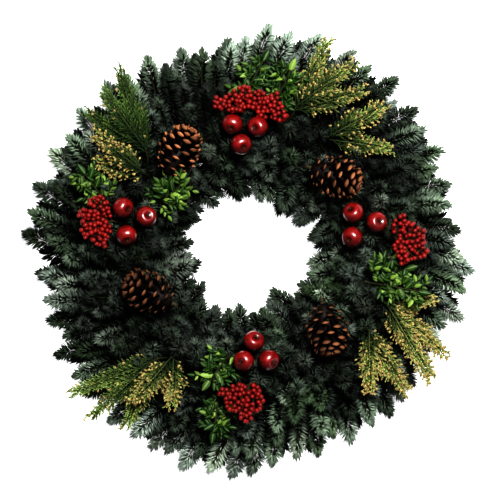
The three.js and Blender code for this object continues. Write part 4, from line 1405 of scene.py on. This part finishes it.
def cone_wire_path(cone):
    """Florist's wire from its foot by the rail to a turn round the cone's stalk."""
    foot, axis, side, up = cone_frame(cone)
    middle = foot - axis * STALK_LENGTH / 2 * MM
    radius = (CONE_STALK + SEAT_GAP + FLORIST_WIRE) * MM
    angles = np.radians(-90 + 19 * np.arange(15))
    turn = [middle + radius * (side * math.cos(a) + up * math.sin(a)) for a in angles]
    below = turn[0] - up * 12 * MM - side * 3 * MM
    stem = standing_stem(cone, FLORIST_WIRE)
    return np.vstack([rounded([*stem, below, turn[0]]), turn[1:]])


class WREATH_OT_pine_cones(bpy.types.Operator):
    """Dress the four pine cones and the wires that hold them"""

    bl_idname = "wreath.pine_cones"
    bl_label = "Pine cones"

    def execute(self, context):
        for cone in CONES:
            dress(f"cone_{cone.name}", cone_meshes(cone))
            wire = tube(cone_wire_path(cone), FLORIST_WIRE * 0.9 * MM, "green_wire", sides=8)
            dress(f"cone_wire_{cone.name}", [wire])
        return {"FINISHED"}


# ---------- apples and berries ----------


def apple_axis(tilt, towards):
    """The direction from an apple's foot to its stalk."""
    level, rise = math.sin(math.radians(tilt)), math.cos(math.radians(tilt))
    return np.array([level * math.cos(math.radians(towards)), level * math.sin(math.radians(towards)), rise])


def apple_meshes(at, tilt, towards, radius, seed):
    """A small apple with a dimple at its foot and another round its stalk."""
    draw = seeded(seed)
    axis = apple_axis(tilt, towards)
    side = unit(np.cross((0.3, 0.2, 1), axis))
    up = np.cross(axis, side)
    middle = place(*at)
    turns = 2 * np.pi * np.arange(32) / 32
    phase = draw(0, 6.28)
    rings, dimples = [], []
    for polar in np.linspace(math.pi, 0, 26):
        rise = math.cos(polar)
        across = math.sin(polar) ** 0.86 * (1 + 0.05 * rise)
        pit = math.exp(-((math.sin(polar) / 0.30) ** 2))
        tall, deep = UPPER_HALF if rise > 0 else LOWER_HALF
        height = rise * tall - math.copysign(deep * pit, rise)
        lobes = 1 + 0.02 * np.cos(5 * turns + phase) * (1 - across * 0.5)
        reach = radius * across * lobes
        ring = middle + axis * height * radius
        ring = ring + np.outer(reach * np.cos(turns), side) + np.outer(reach * np.sin(turns), up)
        rings.append(ring if across > 0.02 else ring.mean(axis=0, keepdims=True))
        dimples.append(pit)
    skin = lofted("apple", rings, finish="apple_skin")
    write_values(skin, "dimple", np.repeat(dimples, [len(ring) for ring in rings]))
    # How far each point faces the painted light, for the painted lit and shaded sides.
    write_values(skin, "ripe", (np.vstack(rings) - middle).dot(PAINTED_LIGHT_SIDE) / radius)
    foot = middle + axis * radius * 0.55
    stalk = [foot, foot + axis * radius * 0.22, foot + axis * radius * 0.42 + side * radius * 0.08]
    return [skin, tube(stalk, APPLE_STALK * MM, "twig_bark", sides=6)]


def berry_spots(crown, tips, crowd, radius, draw):
    """Twigs of a cluster, and the places of its berries, none closer than they can sit."""
    twigs = []
    berries = []

    def hang(point):
        if all(np.linalg.norm(point - other) > BERRY_SPACING * radius for other in berries):
            berries.append(point)
            return True
        return False

    for tip in [*tips, *(lerp(a, b, 0.5) for a, b in zip(tips, tips[1:]))]:
        along = unit(tip - crown)
        side = unit(np.cross((0, 0, 1), along))
        up = np.cross(along, side)
        arch = up * BERRY_ARCH
        shares = np.linspace(0, 1, 6)
        branch = np.array([lerp(crown, tip, s) + arch * math.sin(math.pi * s) for s in shares])
        twigs.append(branch)
        hang(tip)
        for i in range(crowd):
            share = lerp(0.2, 1.0, i / (crowd - 1))
            root = lerp(crown, tip, share) + arch * math.sin(math.pi * share)
            angle = math.radians(draw(-20, 200))
            aim = unit(side * math.cos(angle) + up * math.sin(angle) + along * draw(0.1, 0.8))
            end = root + aim * draw(*BERRY_STALK)
            if hang(end):
                twigs.append(np.array([root, lerp(root, end, 0.5) + along * 0.001, end]))
    return twigs, berries


class WREATH_OT_berry_picks(bpy.types.Operator):
    """Dress the four picks: their stems, their wires and their clusters of red berries"""

    bl_idname = "wreath.berry_picks"
    bl_label = "Berry picks"

    def execute(self, context):
        radius = context.scene.wreath_trimmings.berry_radius
        for number, pick in enumerate(PICKS):
            draw = seeded(331 + 41 * number)
            stem = standing_stem(pick, PICK_STEM)
            waist, crown = stem[-2:]
            twigs, berries = berry_spots(crown, [place(*tip) for tip in pick.tips], pick.crowd, radius, draw)
            meshes = [tube(rounded(stem), PICK_STEM * 0.9 * MM, "twig_bark")]
            meshes += [tube(path, BERRY_TWIG * MM, "twig_bark", sides=5) for path in twigs]
            for at, tilt, towards in pick.apples:
                down = -apple_axis(tilt, towards)
                middle = place(*at)
                end = middle + down * (APPLE * APPLE_FOOT + SEAT_GAP + FLORIST_WIRE / 2) * MM
                path = rounded([waist, middle + down * APPLE * 1.35 * MM, end])
                meshes.append(tube(path, FLORIST_WIRE * 0.8 * MM, "green_wire", sides=6))
            aims = [unit(point - crown + np.array([0, 0, 1e-4])) for point in berries]
            size = (radius, radius, radius)
            meshes.append(settled(
                "berry", "berry_skin", berries, aims, (0, 0, 1), size, 17 + number, unevenness=0.1,
            ))
            dress(f"berry_pick_{pick.name}", meshes)
        return {"FINISHED"}


class WREATH_OT_apples(bpy.types.Operator):
    """Dress the twelve small apples"""

    bl_idname = "wreath.apples"
    bl_label = "Apples"

    def execute(self, context):
        radius = context.scene.wreath_trimmings.apple_radius
        for pick in PICKS:
            for i, (at, tilt, towards) in enumerate(pick.apples):
                meshes = apple_meshes(at, tilt, towards, radius, 5 + i)
                dress(f"apple_{pick.name}_{i + 1}", meshes)
        return {"FINISHED"}


# ---------- wire ring ----------


class WREATH_OT_wire_ring(bpy.types.Operator):
    """Dress the double-rail wire ring and its clamps"""

    bl_idname = "wreath.wire_ring"
    bl_label = "Wire ring"

    def execute(self, context):
        meshes = []
        for rail in (INNER_RAIL, OUTER_RAIL):
            circle = [place(rail, bearing, WIRE_HALF) for bearing in np.linspace(0, 360, 161)]
            meshes.append(tube(circle, WIRE_HALF * MM, "green_wire"))
        for number in range(BUNCHES):
            stops = [
                (INNER_RAIL, WIRE_HALF), (OUTER_RAIL, WIRE_HALF),
                (OUTER_RAIL - CLAMP_SHOULDER, CLAMP_TOP), (INNER_RAIL + CLAMP_SHOULDER, CLAMP_TOP),
            ]
            corners = [place(radius, number * PITCH, height) for radius, height in stops]
            meshes.append(tube(corners[:2], CLAMP_HALF * MM, "green_wire"))
            meshes.append(tube(rounded([*corners[1:], corners[0]]), CLAMP_HALF * MM, "green_wire"))
        dress("wire_ring", meshes)
        return {"FINISHED"}


# ---------- studio ----------

GROUND_HALF = 15.0  # metres
GROUND_HEIGHT = -0.0004
LAMP_PLACE = (0.4, 0.75, 2.4)
LAMP_SIZE = 0.8
FOLIAGE_HEIGHT = 0.05
SENSOR = 36
PIXEL_SHIFT = (0.5, 1.5)  # how far right of and above the middle the camera stands
PICTURE_PIXELS = 500


def studio_object(name, data):
    """An object of the studio, linked to the scene."""
    made = bpy.data.objects.new(name, data)
    bpy.context.scene.collection.objects.link(made)
    return made


class WREATH_OT_studio(bpy.types.Operator):
    """Set the white ground, the soft lamp and the camera that looks straight down"""

    bl_idname = "wreath.studio"
    bl_label = "Studio"

    def execute(self, context):
        scene = context.scene
        studio = scene.wreath_studio
        sheet = bpy.data.meshes.new("ground")
        signs = ((-1, -1), (1, -1), (1, 1), (-1, 1))
        corners = [(x * GROUND_HALF, y * GROUND_HALF, GROUND_HEIGHT) for x, y in signs]
        sheet.from_pydata(corners, [], [(0, 1, 2, 3)])
        sheet.materials.append(finished("white_ground"))
        ground = studio_object("ground", sheet)
        ground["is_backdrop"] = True

        world = bpy.data.worlds.new("white_surround")
        world.use_nodes = True
        sky = world.node_tree.nodes["Background"]
        sky.inputs["Color"].default_value = (1, 1, 1, 1)
        sky.inputs["Strength"].default_value = studio.sky_strength
        scene.world = world
        lamp = bpy.data.lights.new("key", "AREA")
        lamp.shape = "DISK"
        lamp.size = LAMP_SIZE
        lamp.energy = studio.key_power
        holder = studio_object("key", lamp)
        holder.location = LAMP_PLACE
        holder.rotation_euler = (-Vector(LAMP_PLACE)).to_track_quat("-Z", "Y").to_euler()

        camera = bpy.data.cameras.new("camera")
        camera.lens = studio.lens
        camera.sensor_width = SENSOR
        camera.clip_end = 100
        scene.camera = studio_object("camera", camera)
        height = FOLIAGE_HEIGHT + studio.picture_width * studio.lens / SENSOR
        right, above = (shift * studio.picture_width / PICTURE_PIXELS for shift in PIXEL_SHIFT)
        scene.camera.location = (right, above, height)
        scene.view_settings.view_transform = "Standard"
        scene.view_settings.look = "Very High Contrast"
        return {"FINISHED"}


# ---------- panel and registration ----------


class WREATH_PT_pieces(bpy.types.Panel):
    """The wreath's pieces and its studio"""

    bl_idname = "WREATH_PT_pieces"
    bl_label = "Evergreen wreath"
    bl_space_type = "VIEW_3D"
    bl_region_type = "UI"
    bl_category = "Wreath"

    def draw(self, context):
        for operator in PIECES:
            self.layout.operator(operator.bl_idname)
        for group in GROUPS:
            settings = getattr(context.scene, group)
            for name in settings.__annotations__:
                self.layout.prop(settings, name)


GROUPS = {"wreath_greens": WreathGreens, "wreath_trimmings": WreathTrimmings, "wreath_studio": WreathStudio}
PIECES = [
    WREATH_OT_studio,
    WREATH_OT_wire_ring,
    WREATH_OT_fir_bunches,
    WREATH_OT_cedar_sprays,
    WREATH_OT_leaf_sprigs,
    WREATH_OT_pine_cones,
    WREATH_OT_berry_picks,
    WREATH_OT_apples,
]


CLASSES = [*GROUPS.values(), *PIECES, WREATH_PT_pieces]


def register():
    for kind in CLASSES:
        bpy.utils.register_class(kind)
    for name, group in GROUPS.items():
        setattr(bpy.types.Scene, name, PointerProperty(type=group))


def unregister():
    for name in GROUPS:
        delattr(bpy.types.Scene, name)
    for kind in reversed(CLASSES):
        bpy.utils.unregister_class(kind)


def main():
    register()
    bpy.ops.wreath.studio()
    bpy.ops.wreath.wire_ring()
    bpy.ops.wreath.fir_bunches()
    bpy.ops.wreath.cedar_sprays()
    bpy.ops.wreath.leaf_sprigs()
    bpy.ops.wreath.pine_cones()
    bpy.ops.wreath.berry_picks()
    bpy.ops.wreath.apples()
    visual_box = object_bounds()
    boxes = {"packed": packed_box, "visual": visual_box}
    sizes = {name: [list(corner) for corner in box] for name, box in boxes.items()}


if __name__ == "__main__":
    main()
